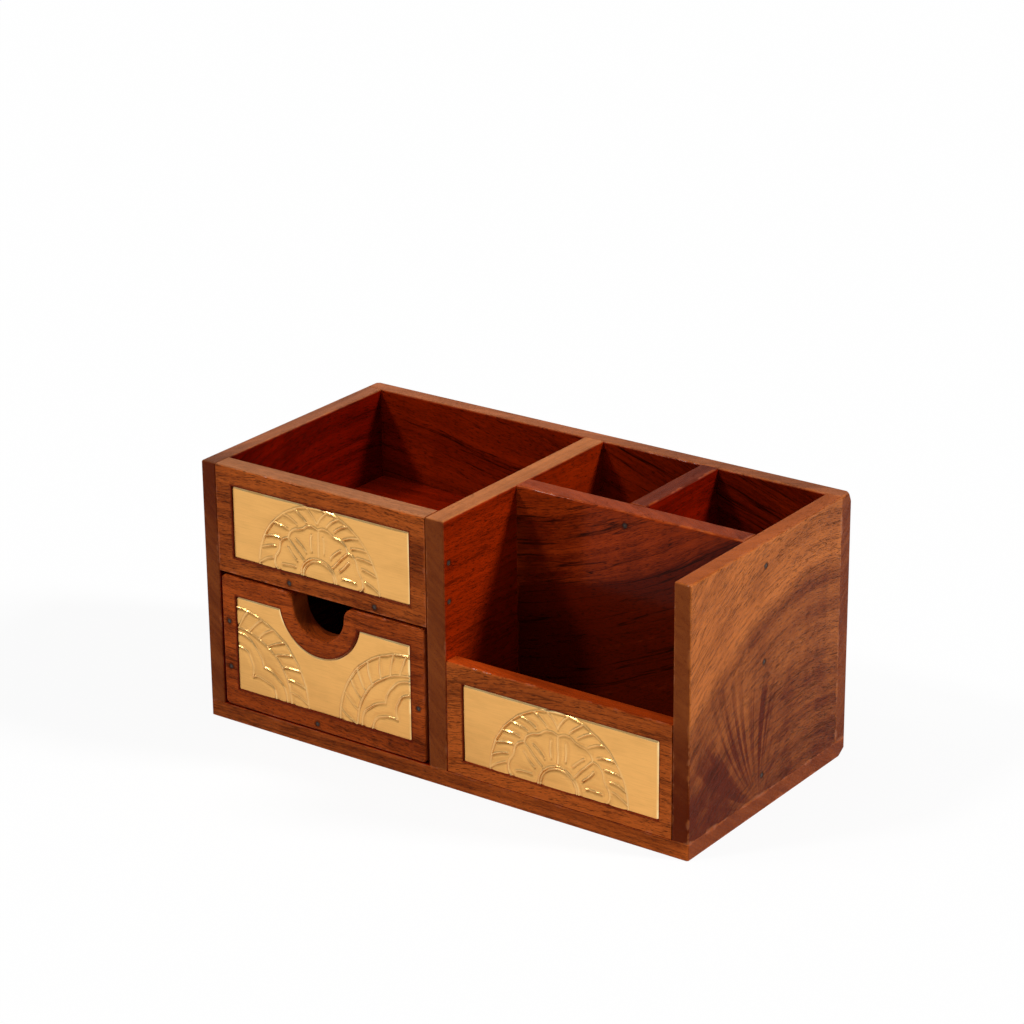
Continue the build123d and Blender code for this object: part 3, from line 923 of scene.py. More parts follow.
class PENSTAND_OT_nails(bpy.types.Operator):
    """Replace the plain pins by sunk, rusty nail heads"""

    bl_idname = "penstand.nails"
    bl_label = "Nails"

    def execute(self, context):
        look = context.scene.pen_stand_nails
        tree = shared_group("nail heads", make_nail_head)
        steel = rusty_steel()
        for group, (body, _) in NAIL_GROUPS.items():
            heads = nail_heads(group)
            points = bpy.data.meshes.new(group)
            points.from_pydata([place for place, _ in heads], [], [])
            outward = points.attributes.new("outward", "FLOAT_VECTOR", "POINT")
            for number, (_, way) in enumerate(heads):
                outward.data[number].vector = way
            piece = new_piece(group.replace("nails", "nail_heads"), points)
            modifier = piece.modifiers.new("nails", "NODES")
            modifier.node_group = tree
            set_inputs(modifier, {"Radius": look.radius, "Sunk": look.sunk, "Material": steel})
            baked(piece)
            piece.data.shade_smooth()
            piece.data.set_sharp_from_angle(angle=math.radians(40))
            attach(piece, body)
            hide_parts(group)
        return {"FINISHED"}


# ---- Lines of the flowers, drawn flat round their centre ----
def make_strokes(name):
    """Bowed strokes that repeat round a centre, each from an outer to an inner end."""
    nodes, given, result = new_group(
        name,
        "GeometryNodeTree",
        [
            ("Count", "int", 7),
            ("First", "float", 0.0),
            ("Last", "float", 1.0),
            ("Outer", "float", 26 * MM),
            ("Inner", "float", 21 * MM),
            ("Lean", "float", 0.15),
            ("Bow", "float", MM),
            ("Uneven", "float", 0.02),
            ("Seed", "int", 0),
        ],
        [("Lines", "geometry")],
    )
    inner_x = nodes.math("MULTIPLY", given["Inner"], nodes.math("COSINE", given["Lean"]))
    inner_y = nodes.math("MULTIPLY", given["Inner"], nodes.math("SINE", given["Lean"]))
    start = nodes.join(given["Outer"], 0.0, 0.0)
    end = nodes.join(inner_x, inner_y, 0.0)
    middle = nodes.vector(
        "ADD", nodes.scaled(nodes.vector("ADD", start, end), 0.5), nodes.join(0.0, given["Bow"], 0.0)
    )
    stroke = nodes.add(
        "GeometryNodeCurveQuadraticBezier",
        {"Resolution": 10, "Start": start, "Middle": middle, "End": end},
    ).outputs[0]
    points = nodes.add(
        "GeometryNodeMeshLine", {"Count": given["Count"], "Offset": (0, 0, 0)}
    ).outputs[0]
    index = nodes.add("GeometryNodeInputIndex").outputs[0]
    gaps = nodes.math("MAXIMUM", nodes.math("SUBTRACT", given["Count"], 1), 1)
    span = nodes.math("SUBTRACT", given["Last"], given["First"])
    step = nodes.math("MULTIPLY", span, nodes.math("DIVIDE", index, gaps))
    chance = nodes.add(
        "FunctionNodeRandomValue",
        {"Min": nodes.math("MULTIPLY", given["Uneven"], -1.0), "Max": given["Uneven"], "Seed": given["Seed"]},
        data_type="FLOAT",
    ).outputs[1]
    angle = nodes.sum(given["First"], step, chance)
    placed = nodes.add(
        "GeometryNodeInstanceOnPoints",
        {"Points": points, "Instance": stroke, "Rotation": nodes.join(0.0, 0.0, angle)},
    ).outputs[0]
    real = nodes.add("GeometryNodeRealizeInstances", {"Geometry": placed}).outputs[0]
    nodes.feed(result["Lines"], nodes.add("GeometryNodeCurveToMesh", {"Curve": real}).outputs[0])


def polar_line_maker(profile):
    """Makes the group of a line round a centre that swings between two radii by this profile."""

    def make(name):
        nodes, given, result = new_group(
            name,
            "GeometryNodeTree",
            [
                ("First", "float", 0.0),
                ("Last", "float", math.pi),
                ("Valley", "float", 18 * MM),
                ("Crest", "float", 20 * MM),
                ("Petals", "float", 4.0),
                ("Phase", "float", 0.0),
                ("Points", "int", 160),
            ],
            [("Lines", "geometry")],
        )
        line = nodes.add("GeometryNodeMeshLine", {"Count": given["Points"]}).outputs[0]
        index = nodes.add("GeometryNodeInputIndex").outputs[0]
        share = nodes.math("DIVIDE", index, nodes.math("SUBTRACT", given["Points"], 1))
        span = nodes.math("SUBTRACT", given["Last"], given["First"])
        angle = nodes.math("ADD", given["First"], nodes.math("MULTIPLY", span, share))
        turns = nodes.math("ADD", nodes.math("MULTIPLY", share, given["Petals"]), given["Phase"])
        curve = nodes.add("ShaderNodeFloatCurve", {"Value": nodes.math("FRACT", turns)})
        points = curve.mapping.curves[0].points
        points[0].location = profile[0]
        points[-1].location = profile[-1]
        for place, height in profile[1:-1]:
            points.new(place, height)
        curve.mapping.update()
        swing = nodes.math("SUBTRACT", given["Crest"], given["Valley"])
        radius = nodes.math(
            "ADD", given["Valley"], nodes.math("MULTIPLY", swing, curve.outputs[0])
        )
        x = nodes.math("MULTIPLY", radius, nodes.math("COSINE", angle))
        y = nodes.math("MULTIPLY", radius, nodes.math("SINE", angle))
        bent = nodes.add(
            "GeometryNodeSetPosition", {"Geometry": line, "Position": nodes.join(x, y, 0.0)}
        )
        nodes.feed(result["Lines"], bent.outputs[0])

    return make


# Each petal of a half flower has two lobes; one of a quarter flower swells to a single tip
make_lobed_line = polar_line_maker([(0, 0), (0.07, 0.6), (0.25, 1), (0.5, 0.5), (0.75, 1), (0.93, 0.6), (1, 0)])
make_pointed_line = polar_line_maker([(0, 0), (0.2, 0.55), (0.5, 1), (0.8, 0.55), (1, 0)])


def arc(nodes, radius, first, last):
    """A plain arc round the centre."""
    points = use_group(
        nodes,
        "lobed line",
        make_lobed_line,
        First=first,
        Last=last,
        Valley=radius,
        Crest=radius,
        Points=120,
    )
    return points["Lines"]


def flat_to_front(nodes, lines, centre):
    """Joins lines drawn flat, stands them up to face the front, and puts them on their centre."""
    joined = nodes.add("GeometryNodeJoinGeometry")
    for line in reversed(lines):
        nodes.tree.links.new(line, joined.inputs[0])
    return nodes.add(
        "GeometryNodeTransform",
        {"Geometry": joined.outputs[0], "Translation": centre, "Rotation": (math.pi / 2, 0, 0)},
    ).outputs[0]


def make_half_flower(name):
    """A half flower over the lower edge: gadrooned rim, four petals of two lobes, and a hub."""
    nodes, given, result = new_group(
        name,
        "GeometryNodeTree",
        [
            ("Centre", "vector", (0, 0, 0)),
            ("Rim", "float", 26.3 * MM),
            ("Band", "float", 20.8 * MM),
            ("Petal", "float", 19.7 * MM),
            ("Cusp", "float", 18.2 * MM),
            ("Hub", "float", 7.9 * MM),
            ("Left Strokes", "int", 7),
            ("Right Strokes", "int", 8),
            ("Seed", "int", 0),
        ],
        [("Lines", "geometry")],
    )
    half = math.pi
    lean = math.radians(9.5)
    vee = math.radians(91)
    hub_ring = nodes.math("SUBTRACT", given["Hub"], 0.9 * MM)
    vein_outer = nodes.math("MULTIPLY", given["Cusp"], 0.9)
    vein_inner = nodes.math("MULTIPLY", given["Hub"], 1.38)
    lines = [
        arc(nodes, given["Rim"], 0.0, half),
        arc(nodes, given["Hub"], 0.0, half),
        arc(nodes, hub_ring, 0.0, half),
        use_group(
            nodes,
            "lobed line",
            make_lobed_line,
            First=0.0,
            Last=half,
            Valley=given["Cusp"],
            Crest=given["Petal"],
        )["Lines"],
    ]
    petal = half / 4
    # (count, first angle, last angle, outer, inner, lean, bow)
    repeats = [
        (given["Left Strokes"], vee + lean, half - 0.02, given["Rim"], given["Band"], -lean, -0.9 * MM),
        (given["Right Strokes"], vee - lean, 0.04, given["Rim"], given["Band"], lean, 0.9 * MM),
        (3, petal, 3 * petal, given["Cusp"], nodes.math("ADD", given["Hub"], 0.9 * MM), 0.0, 0.0),
        (4, petal * 0.80, petal * 3.80, vein_outer, vein_inner, -math.radians(6), -0.5 * MM),
        (4, petal * 0.20, petal * 3.20, vein_outer, vein_inner, math.radians(6), 0.5 * MM),
    ]
    for number, (count, first, last, outer, inner, turn, bow) in enumerate(repeats):
        strokes = use_group(
            nodes,
            "strokes",
            make_strokes,
            Count=count,
            First=first,
            Last=last,
            Outer=outer,
            Inner=inner,
            Lean=turn,
            Bow=bow,
            Seed=nodes.math("ADD", given["Seed"], number),
        )
        lines.append(strokes["Lines"])
    nodes.feed(result["Lines"], flat_to_front(nodes, lines, given["Centre"]))


def make_quarter_flower(name):
    """A quarter flower in a lower corner: gadrooned rim and two rows of pointed petals."""
    nodes, given, result = new_group(
        name,
        "GeometryNodeTree",
        [
            ("Centre", "vector", (0, 0, 0)),
            ("First", "float", 0.0),
            ("Last", "float", math.pi / 2),
            ("Rim", "float", 31.3 * MM),
            ("Band", "float", 23.6 * MM),
            ("Petal", "float", 21.8 * MM),
            ("Cusp", "float", 15.8 * MM),
            ("Inner Petal", "float", 16.8 * MM),
            ("Inner Cusp", "float", 8.6 * MM),
            ("Strokes", "int", 8),
            ("Seed", "int", 0),
        ],
        [("Lines", "geometry")],
    )
    first, last = given["First"], given["Last"]
    lean = math.radians(8)
    lines = [arc(nodes, given["Rim"], first, last), arc(nodes, given["Band"], first, last)]
    for tip, cusp in ((given["Petal"], given["Cusp"]), (given["Inner Petal"], given["Inner Cusp"])):
        petals = use_group(
            nodes,
            "pointed line",
            make_pointed_line,
            First=first,
            Last=last,
            Valley=cusp,
            Crest=tip,
            Petals=1.0,
            Phase=0.5,
        )
        lines.append(petals["Lines"])
    strokes = use_group(
        nodes,
        "strokes",
        make_strokes,
        Count=given["Strokes"],
        First=nodes.math("ADD", first, 0.03),
        Last=nodes.math("SUBTRACT", last, 0.16),
        Outer=given["Rim"],
        Inner=nodes.math("ADD", given["Band"], 0.4 * MM),
        Lean=lean,
        Bow=0.9 * MM,
        Seed=given["Seed"],
    )
    lines.append(strokes["Lines"])
    nodes.feed(result["Lines"], flat_to_front(nodes, lines, given["Centre"]))


def make_inside_rim(name):
    """1 inside a flower's rim, and 0 outside it."""
    nodes, given, result = new_group(
        name,
        "GeometryNodeTree",
        [("Centre", "vector", (0, 0, 0)), ("Rim", "float", 26 * MM)],
        [("Inside", "float")],
    )
    place = nodes.add("GeometryNodeInputPosition").outputs[0]
    flat = nodes.vector("MULTIPLY", nodes.vector("SUBTRACT", place, given["Centre"]), (1, 0, 1))
    share = nodes.math("DIVIDE", nodes.vector("LENGTH", flat, out="Value"), given["Rim"])
    nodes.feed(result["Inside"], nodes.spread(share, 0.97, 1.0, 1.0, 0.0))


def make_press(name):
    """Presses lines into a sheet's front, swells the cells between them and rolls its edges.

    It also stores where shade is painted beneath each ridge, and where a highlight is painted
    on the ridges and along the top and right edges.
    """
    nodes, given, result = new_group(
        name,
        "GeometryNodeTree",
        [
            ("Sheet", "geometry", None),
            ("Lines", "geometry", None),
            ("Inside", "float", 0.0),
            ("Height", "float", 0.3 * MM),
            ("Width", "float", 0.4 * MM),
            ("Swell", "float", 0.2 * MM),
            ("Proud", "float", 0.32 * MM),
            ("Limit", "float", 0.86 * MM),
            ("Roll", "float", 1.0 * MM),
            ("Dents", "float", 0.1 * MM),
            ("Crooked", "float", 0.9 * MM),
        ],
        [("Sheet", "geometry")],
    )
    place = nodes.add("GeometryNodeInputPosition").outputs[0]
    tremble = nodes.vector("SUBTRACT", nodes.noise(place, 180.0, 2.0, out="Color"), (0.5, 0.5, 0.5))
    drawn = nodes.vector("ADD", place, nodes.scaled(tremble, 0.8 * MM))
    flat = nodes.vector("MULTIPLY", drawn, (1, 0, 1))

    def distance_to_lines(point):
        near = nodes.add(
            "GeometryNodeProximity",
            {0: given["Lines"], "Sample Position": point},
            target_element="EDGES",
        )
        return near.outputs["Distance"]

    near = distance_to_lines(flat)
    # Sampled a little above each point: the line just beneath each ridge, where its shade is painted
    from_above = distance_to_lines(nodes.vector("ADD", flat, (-0.2 * MM, 0.0, 0.62 * MM)))
    pressure = nodes.spread(nodes.noise(place, 130.0, 2.0), 0.3, 0.7, 0.45, 1.2)
    ridge = nodes.math("MULTIPLY", nodes.bell(near, given["Width"]), pressure)
    beneath = nodes.bell(from_above, nodes.math("MULTIPLY", given["Width"], 0.8))
    dent_and_shade = nodes.math("MULTIPLY", beneath, pressure)
    cell = nodes.math("MULTIPLY", nodes.spread(near, 0.5 * MM, 2.0 * MM), given["Inside"])
    edge = nodes.add(
        "GeometryNodeInputNamedAttribute", {"Name": "edge_distance"}, data_type="FLOAT"
    ).outputs[0]
    front = nodes.add(
        "GeometryNodeInputNamedAttribute", {"Name": "front"}, data_type="FLOAT"
    ).outputs[0]
    rolled = nodes.spread(edge, 0.1 * MM, given["Roll"])
    highlight_breaks = nodes.spread(nodes.noise(place, 140.0, 2.0), 0.3, 0.7, 0.3, 1.3)
    dents = nodes.math("SUBTRACT", nodes.noise(place, 45.0, 2.0), 0.5)
    forward = nodes.sum(
        nodes.math("MULTIPLY", ridge, given["Height"]),
        nodes.math("MULTIPLY", nodes.math("MULTIPLY", dent_and_shade, given["Height"]), -0.45),
        nodes.math("MULTIPLY", cell, given["Swell"]),
        nodes.math("MULTIPLY", dents, given["Dents"]),
        nodes.math("MULTIPLY", rolled, given["Proud"]),
    )
    held = nodes.math("MINIMUM", forward, given["Limit"])
    pushed = nodes.math("MULTIPLY", nodes.math("MULTIPLY", held, front), -1.0)
    crooked = nodes.vector("SUBTRACT", nodes.noise(place, 55.0, 2.0, out="Color"), (0.5, 0.5, 0.5))
    crooked = nodes.vector("MULTIPLY", nodes.scaled(crooked, given["Crooked"]), (1, 0, 1))
    offset = nodes.vector("ADD", crooked, nodes.join(0.0, pushed, 0.0))
    moved = nodes.add(
        "GeometryNodeSetPosition", {"Geometry": given["Sheet"], "Offset": offset}
    ).outputs[0]
    # Painted highlight along the top and right edges, which catch the light
    painted_edge_highlight = nodes.math("MULTIPLY", nodes.spread(edge, 0.5 * MM, 1.1 * MM, 2.0, 0.0), highlight_breaks)
    polished = nodes.math("MAXIMUM", ridge, painted_edge_highlight)
    # Stored for the colour: painted shade beneath the ridges, and polish with a painted highlight
    for attribute, value in (("groove", dent_and_shade), ("ridge", polished)):
        moved = nodes.add(
            "GeometryNodeStoreNamedAttribute",
            {"Geometry": moved, "Name": attribute, "Value": nodes.math("MULTIPLY", value, front)},
            data_type="FLOAT",
            domain="POINT",
        ).outputs[0]
    nodes.feed(result["Sheet"], moved)


# ---- Brass plates ----
def brass():
    """Pale pressed brass: a fine level brushing, polished ridges and thin tarnished clouds.

    Beneath each ridge it is rougher, with painted shade; the ridges and the plate's top and
    right edges carry a painted highlight.
    """
    if "pressed brass" in bpy.data.materials:
        return bpy.data.materials["pressed brass"]
    look = bpy.context.scene.pen_stand_brass
    material = bpy.data.materials.new("pressed brass")
    material.use_nodes = True
    nodes = NodeBuilder(material.node_tree)
    shader = material.node_tree.nodes["Principled BSDF"]
    place = nodes.add("ShaderNodeTexCoord").outputs["Object"]
    brushed = nodes.noise(nodes.vector("MULTIPLY", place, (90, 900, 2600)), 1.0, 3.0, 0.65)
    clouds = nodes.noise(nodes.vector("MULTIPLY", place, (50, 60, 150)), 1.0, 3.0, 0.6)
    # Painted shade beneath the ridges, where the brass is also rougher
    groove = nodes.add("ShaderNodeAttribute", attribute_name="groove").outputs["Fac"]
    ridge = nodes.add("ShaderNodeAttribute", attribute_name="ridge").outputs["Fac"]
    # Tarnished clouds and brushing, with the painted shade beneath the ridges; less on the ridges
    tarnish_and_shade = nodes.sum(
        nodes.math("MULTIPLY", groove, 0.8),
        nodes.math("MULTIPLY", nodes.spread(clouds, 0.42, 0.75), 0.2),
        nodes.math("MULTIPLY", nodes.spread(brushed, 0.4, 0.75), 0.16),
        nodes.math("MULTIPLY", ridge, -0.7),
    )
    amount = nodes.math("MULTIPLY", tarnish_and_shade, look.tarnish_and_shade, clamp=True)
    color = nodes.mix(amount, (*look.color, 1), (*look.tarnish_and_shade_color, 1))
    # Lighter on the ridges, polished and partly a painted highlight; on the top and right edges a painted
    # highlight
    color = nodes.mix(nodes.math("MULTIPLY", ridge, 0.4, clamp=True), color, (*look.polish_and_highlight_color, 1))
    nodes.feed(shader.inputs["Base Color"], color)
    rough = nodes.sum(
        look.roughness,
        nodes.math("MULTIPLY", brushed, 0.12),
        nodes.math("MULTIPLY", groove, 0.15),
        nodes.math("MULTIPLY", ridge, -0.12),
    )
    nodes.feed(shader.inputs["Roughness"], rough)
    bump = nodes.add("ShaderNodeBump", {"Height": brushed, "Distance": 0.006 * MM, "Strength": 0.6})
    nodes.feed(shader.inputs["Normal"], bump.outputs["Normal"])
    shader.inputs["Metallic"].default_value = 1.0
    return material


def sheet_mesh(name, low, high, step, scoop=None):
    """A closed sheet between two corners, finely divided over its front, which faces -Y.

    It knows how far its points are from its upper and right edges, which catch the light.

    scoop is the middle and the radius of a round piece that is cut out of it.
    """
    columns = math.ceil((high.x - low.x) / step)
    rows = math.ceil((high.z - low.z) / step)
    bm = bmesh.new()
    edge_layer = bm.verts.layers.float.new("edge_distance")
    front_layer = bm.verts.layers.float.new("front")
    grid = [
        [
            bm.verts.new(
                (
                    low.x + (high.x - low.x) * column / columns,
                    low.y,
                    low.z + (high.z - low.z) * row / rows,
                )
            )
            for row in range(rows + 1)
        ]
        for column in range(columns + 1)
    ]
    for left, right in zip(grid, grid[1:]):
        for corners in zip(left, right, right[1:], left[1:]):
            bm.faces.new(corners)
    if scoop is not None:
        middle, radius = scoop
        inside = [v for v in bm.verts if (v.co - middle).length < radius]
        rim = {v for gone in inside for edge in gone.link_edges for v in edge.verts}
        rim |= {v for gone in inside for face in gone.link_faces for v in face.verts}
        bmesh.ops.delete(bm, geom=inside, context="VERTS")
        for vert in rim:
            if vert.is_valid:
                out = vert.co - middle
                vert.co = middle + out.normalized() * radius
                vert.co.z = min(vert.co.z, high.z)
    for vert in bm.verts:
        x, _, z = vert.co
        sides = [high.x - x, high.z - z]
        if scoop is not None:
            sides.append((vert.co - middle).length - radius)
        vert[edge_layer] = max(min(sides), 0.0)
        vert[front_layer] = 1.0
    outline = [edge for edge in bm.edges if edge.is_boundary]
    walls = bmesh.ops.extrude_edge_only(bm, edges=outline)["geom"]
    for vert in (item for item in walls if isinstance(item, bmesh.types.BMVert)):
        vert.co.y = high.y
        vert[front_layer] = 0.0
    bmesh.ops.edgeloop_fill(bm, edges=[edge for edge in bm.edges if edge.is_boundary])
    bmesh.ops.recalc_face_normals(bm, faces=bm.faces)
    mesh = bpy.data.meshes.new(name)
    bm.to_mesh(mesh)
    bm.free()
    return mesh


def press_tree(name, flower, make_flower, flowers):
    """The tree that presses flowers into a sheet; each flower's inputs have its own prefix."""
    shape = shared_group(flower, make_flower)
    sockets = [s for s in shape.interface.items_tree if s.item_type == "SOCKET" and s.in_out == "INPUT"]
    sorts = {value: key for key, value in SOCKETS.items()}
    inputs = [("Sheet", "geometry", None), ("Height", "float", 0.3 * MM), ("Width", "float", 0.4 * MM)]
    inputs.append(("Material", "material", None))
    for prefix in flowers:
        inputs += [(f"{prefix} {s.name}", sorts[s.socket_type], s.default_value) for s in sockets]
    nodes, given, result = new_group(name, "GeometryNodeTree", inputs, [("Sheet", "geometry")])
    lines = nodes.add("GeometryNodeJoinGeometry")
    inside = 0.0
    for prefix in flowers:
        drawn = nodes.add("GeometryNodeGroup", node_tree=shape)
        for socket in sockets:
            nodes.feed(drawn.inputs[socket.name], given[f"{prefix} {socket.name}"])
        nodes.tree.links.new(drawn.outputs["Lines"], lines.inputs[0])
        rim = use_group(
            nodes,
            "inside rim",
            make_inside_rim,
            Centre=given[f"{prefix} Centre"],
            Rim=given[f"{prefix} Rim"],
        )
        inside = nodes.math("MAXIMUM", inside, rim["Inside"])
    pressed = use_group(
        nodes,
        "press",
        make_press,
        Sheet=given["Sheet"],
        Lines=lines.outputs[0],
        Inside=inside,
        Height=given["Height"],
        Width=given["Width"],
    )
    real = nodes.add("GeometryNodeRealizeInstances", {"Geometry": pressed["Sheet"]}).outputs[0]
    finished = nodes.add(
        "GeometryNodeSetMaterial", {"Geometry": real, "Material": given["Material"]}
    )
    nodes.feed(result["Sheet"], finished.outputs[0])
    return nodes.tree


def set_inputs(modifier, values):
    """Gives a modifier's tree its inputs, found by the identifiers of their names."""
    for item in modifier.node_group.interface.items_tree:
        if item.item_type == "SOCKET" and item.in_out == "INPUT" and item.name in values:
            modifier[item.identifier] = values[item.name]


def baked(piece):
    """Turns what a piece's modifiers make into its plain mesh, and takes them off."""
    graph = bpy.context.evaluated_depsgraph_get()
    graph.update()
    mesh = bpy.data.meshes.new_from_object(piece.evaluated_get(graph))
    piece.modifiers.clear()
    piece.data = mesh
    mesh.name = piece.name
    return piece


def new_piece(name, mesh):
    piece = bpy.data.objects.new(name, mesh)
    bpy.context.scene.collection.objects.link(piece)
    return piece


def press_plate(name, node_name, body, tree, flowers, scoop=None):
    """Makes a pressed plate in the place of a flat one, from its tree and its flowers' values."""
    look = bpy.context.scene.pen_stand_brass
    low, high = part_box(node_name)
    plate = new_piece(name, sheet_mesh(name, low, high, look.step, scoop))
    modifier = plate.modifiers.new("press", "NODES")
    modifier.node_group = tree
    values = {"Height": look.ridge_height, "Width": look.ridge_width, "Material": brass()}
    for prefix, flower in flowers.items():
        for key, value in flower.items():
            values[f"{prefix} {key.replace('_', ' ')}"] = value
    set_inputs(modifier, values)
    baked(plate)
    plate.data.shade_smooth()
    plate.data.set_sharp_from_angle(angle=math.radians(50))
    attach(plate, body)
    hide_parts(node_name)


class PenStandBrass(bpy.types.PropertyGroup):
    """Look of the pressed plates."""

    color: FloatVectorProperty(
        name="Brass",
        description="Colour of the clean brass",
        subtype="COLOR",
        default=(0.88, 0.46, 0.135),
    )
    # Polished ridges, and the painted highlight on the ridges and edges
    polish_and_highlight_color: FloatVectorProperty(
        name="Polished brass",
        description="Colour of the ridges, polished by wear",
        subtype="COLOR",
        default=(1.0, 0.72, 0.34),
    )
    # Also the colour of the painted shade beneath the ridges
    tarnish_and_shade_color: FloatVectorProperty(
        name="Tarnish",
        description="Colour of the grooves and clouds",
        subtype="COLOR",
        default=(0.30, 0.13, 0.026),
    )
    tarnish_and_shade: FloatProperty(
        name="Tarnish amount",
        description="How much of the brass is dulled",
        subtype="FACTOR",
        default=0.8,
    )
    roughness: FloatProperty(
        name="Roughness",
        description="Roughness of the clean brass",
        subtype="FACTOR",
        default=0.3,
    )
    ridge_height: FloatProperty(
        name="Ridge height",
        description="How far the pressed lines stand out",
        subtype="DISTANCE",
        default=0.46 * MM,
    )
    ridge_width: FloatProperty(
        name="Ridge width",
        description="Half the width of a pressed line",
        subtype="DISTANCE",
        default=0.33 * MM,
    )
    step: FloatProperty(
        name="Step",
        description="Spacing of the sheet's divisions",
        subtype="DISTANCE",
        default=0.2 * MM,
    )
    tray_rim: FloatProperty(
        name="Tray flower",
        description="Radius of the rim of the tray's half flower",
        subtype="DISTANCE",
        default=26.3 * MM,
    )
    low_rim: FloatProperty(
        name="Low front flower",
        description="Radius of the rim of the low front's half flower",
        subtype="DISTANCE",
        default=28.0 * MM,
    )
    drawer_rim: FloatProperty(
        name="Drawer flowers",
        description="Radius of the rim of the drawer's quarter flowers",
        subtype="DISTANCE",
        default=31.3 * MM,
    )


class PENSTAND_OT_half_flower_plates(bpy.types.Operator):
    """Press the half flowers into the plates of the tray front and the low front"""

    bl_idname = "penstand.half_flower_plates"
    bl_label = "Half Flower Plates"

    def execute(self, context):
        look = context.scene.pen_stand_brass
        tree = press_tree("half flower plate", "half flower", make_half_flower, ["Flower"])
        for name, node_name, rim, aside, left, right in (
            ("tray_plate_pressed", "tray_plate", look.tray_rim, -0.9 * MM, 7, 8),
            ("low_plate_pressed", "low_plate", look.low_rim, -0.5 * MM, 8, 8),
        ):
            low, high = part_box(node_name)
            flower = {
                "Centre": ((low.x + high.x) / 2 + aside, 0.0, low.z),
                "Rim": rim,
                "Band": rim * 0.79,
                "Petal": rim * 0.745,
                "Cusp": rim * 0.69,
                "Hub": rim * 0.295,
                "Left_Strokes": left,
                "Right_Strokes": right,
                "Seed": left,
            }
            press_plate(name, node_name, "case", tree, {"Flower": flower})
        return {"FINISHED"}


class PENSTAND_OT_drawer_plate(bpy.types.Operator):
    """Press the quarter flowers into the plate of the drawer, round its scoop"""

    bl_idname = "penstand.drawer_plate"
    bl_label = "Drawer Plate"

    def execute(self, context):
        rim = context.scene.pen_stand_brass.drawer_rim
        low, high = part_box("drawer_plate")
        tree = press_tree("drawer plate", "quarter flower", make_quarter_flower, ["Left", "Right"])
        shares = {
            "Rim": rim,
            "Band": rim * 0.755,
            "Petal": rim * 0.695,
            "Cusp": rim * 0.505,
            "Inner_Petal": rim * 0.535,
            "Inner_Cusp": rim * 0.275,
        }
        flowers = {
            "Left": {"Centre": (low.x, 0.0, low.z), "First": 0.0, "Last": math.pi / 2, **shares},
            "Right": {
                "Centre": (high.x, 0.0, low.z),
                "First": math.pi / 2,
                "Last": math.pi,
                "Seed": 3,
                **shares,
            },
        }
        press_plate("drawer_plate_pressed", "drawer_plate", "drawer", tree, flowers, SCOOP)
        return {"FINISHED"}


# ---- Stage ----
class PenStandStage(bpy.types.PropertyGroup):
    """Camera and soft lamps."""

    azimuth: FloatProperty(
        name="Azimuth",
        description="Turn of the camera round the stand, from the front towards the right",
        subtype="ANGLE",
        default=math.radians(35.728),
    )
    elevation: FloatProperty(
        name="Elevation",
        description="Height of the camera over the level",
        subtype="ANGLE",
        default=math.radians(21.33),
    )
    roll: FloatProperty(
        name="Roll",
        description="Turn of the picture",
        subtype="ANGLE",
        default=math.radians(-0.521),
    )
    distance: FloatProperty(
        name="Distance",
        description="From the origin to the camera, along the view",
        subtype="DISTANCE",
        default=1.1803,
    )
    aside: FloatVectorProperty(
        name="Aside",
        description="Camera's place to the right and up, in the plane of the picture",
        subtype="XYZ",
        unit="LENGTH",
        size=2,
        default=(-0.003429, 0.078246),
    )
    lens: FloatProperty(
        name="Lens",
        description="Focal length in mm, on a sensor 36 mm wide",
        default=117.03,
    )
    side_light: FloatProperty(name="Side", description="Strength of the light from the right", default=2.1)
    top_light: FloatProperty(name="Top", description="Strength of the light from above", default=0.7)
    glint: FloatProperty(name="Glint", description="Strength of the lamp that edges mirror", default=0.22)
    front_light: FloatProperty(name="Front", description="Strength of the light at the left", default=0.9)
    ambient: FloatProperty(name="Ambient", description="Light from all around", default=0.1)


def softbox(name, azimuth, elevation, spread, strength):
    """A soft, far lamp: the azimuth turns from the front towards the right."""
    lamp = bpy.data.lights.new(name, "SUN")
    lamp.angle = math.radians(spread)
    lamp.energy = strength
    holder = bpy.data.objects.new(name, lamp)
    bpy.context.scene.collection.objects.link(holder)
    turn, rise = math.radians(azimuth), math.radians(elevation)
    way = Vector((math.sin(turn) * math.cos(rise), -math.cos(turn) * math.cos(rise), math.sin(rise)))
    holder.location = way
    holder.rotation_euler = way.to_track_quat("Z", "Y").to_euler()


def seen_white(nodes, mirrored):
    """1 where the camera looks straight at the background, and this share of it in a mirror."""
    ray = nodes.add("ShaderNodeLightPath").outputs
    in_mirror = nodes.math("MULTIPLY", ray["Is Glossy Ray"], mirrored)
    seen = nodes.math("MAXIMUM", ray["Is Camera Ray"], in_mirror)
    return nodes.math("MAXIMUM", seen, ray["Is Transmission Ray"])


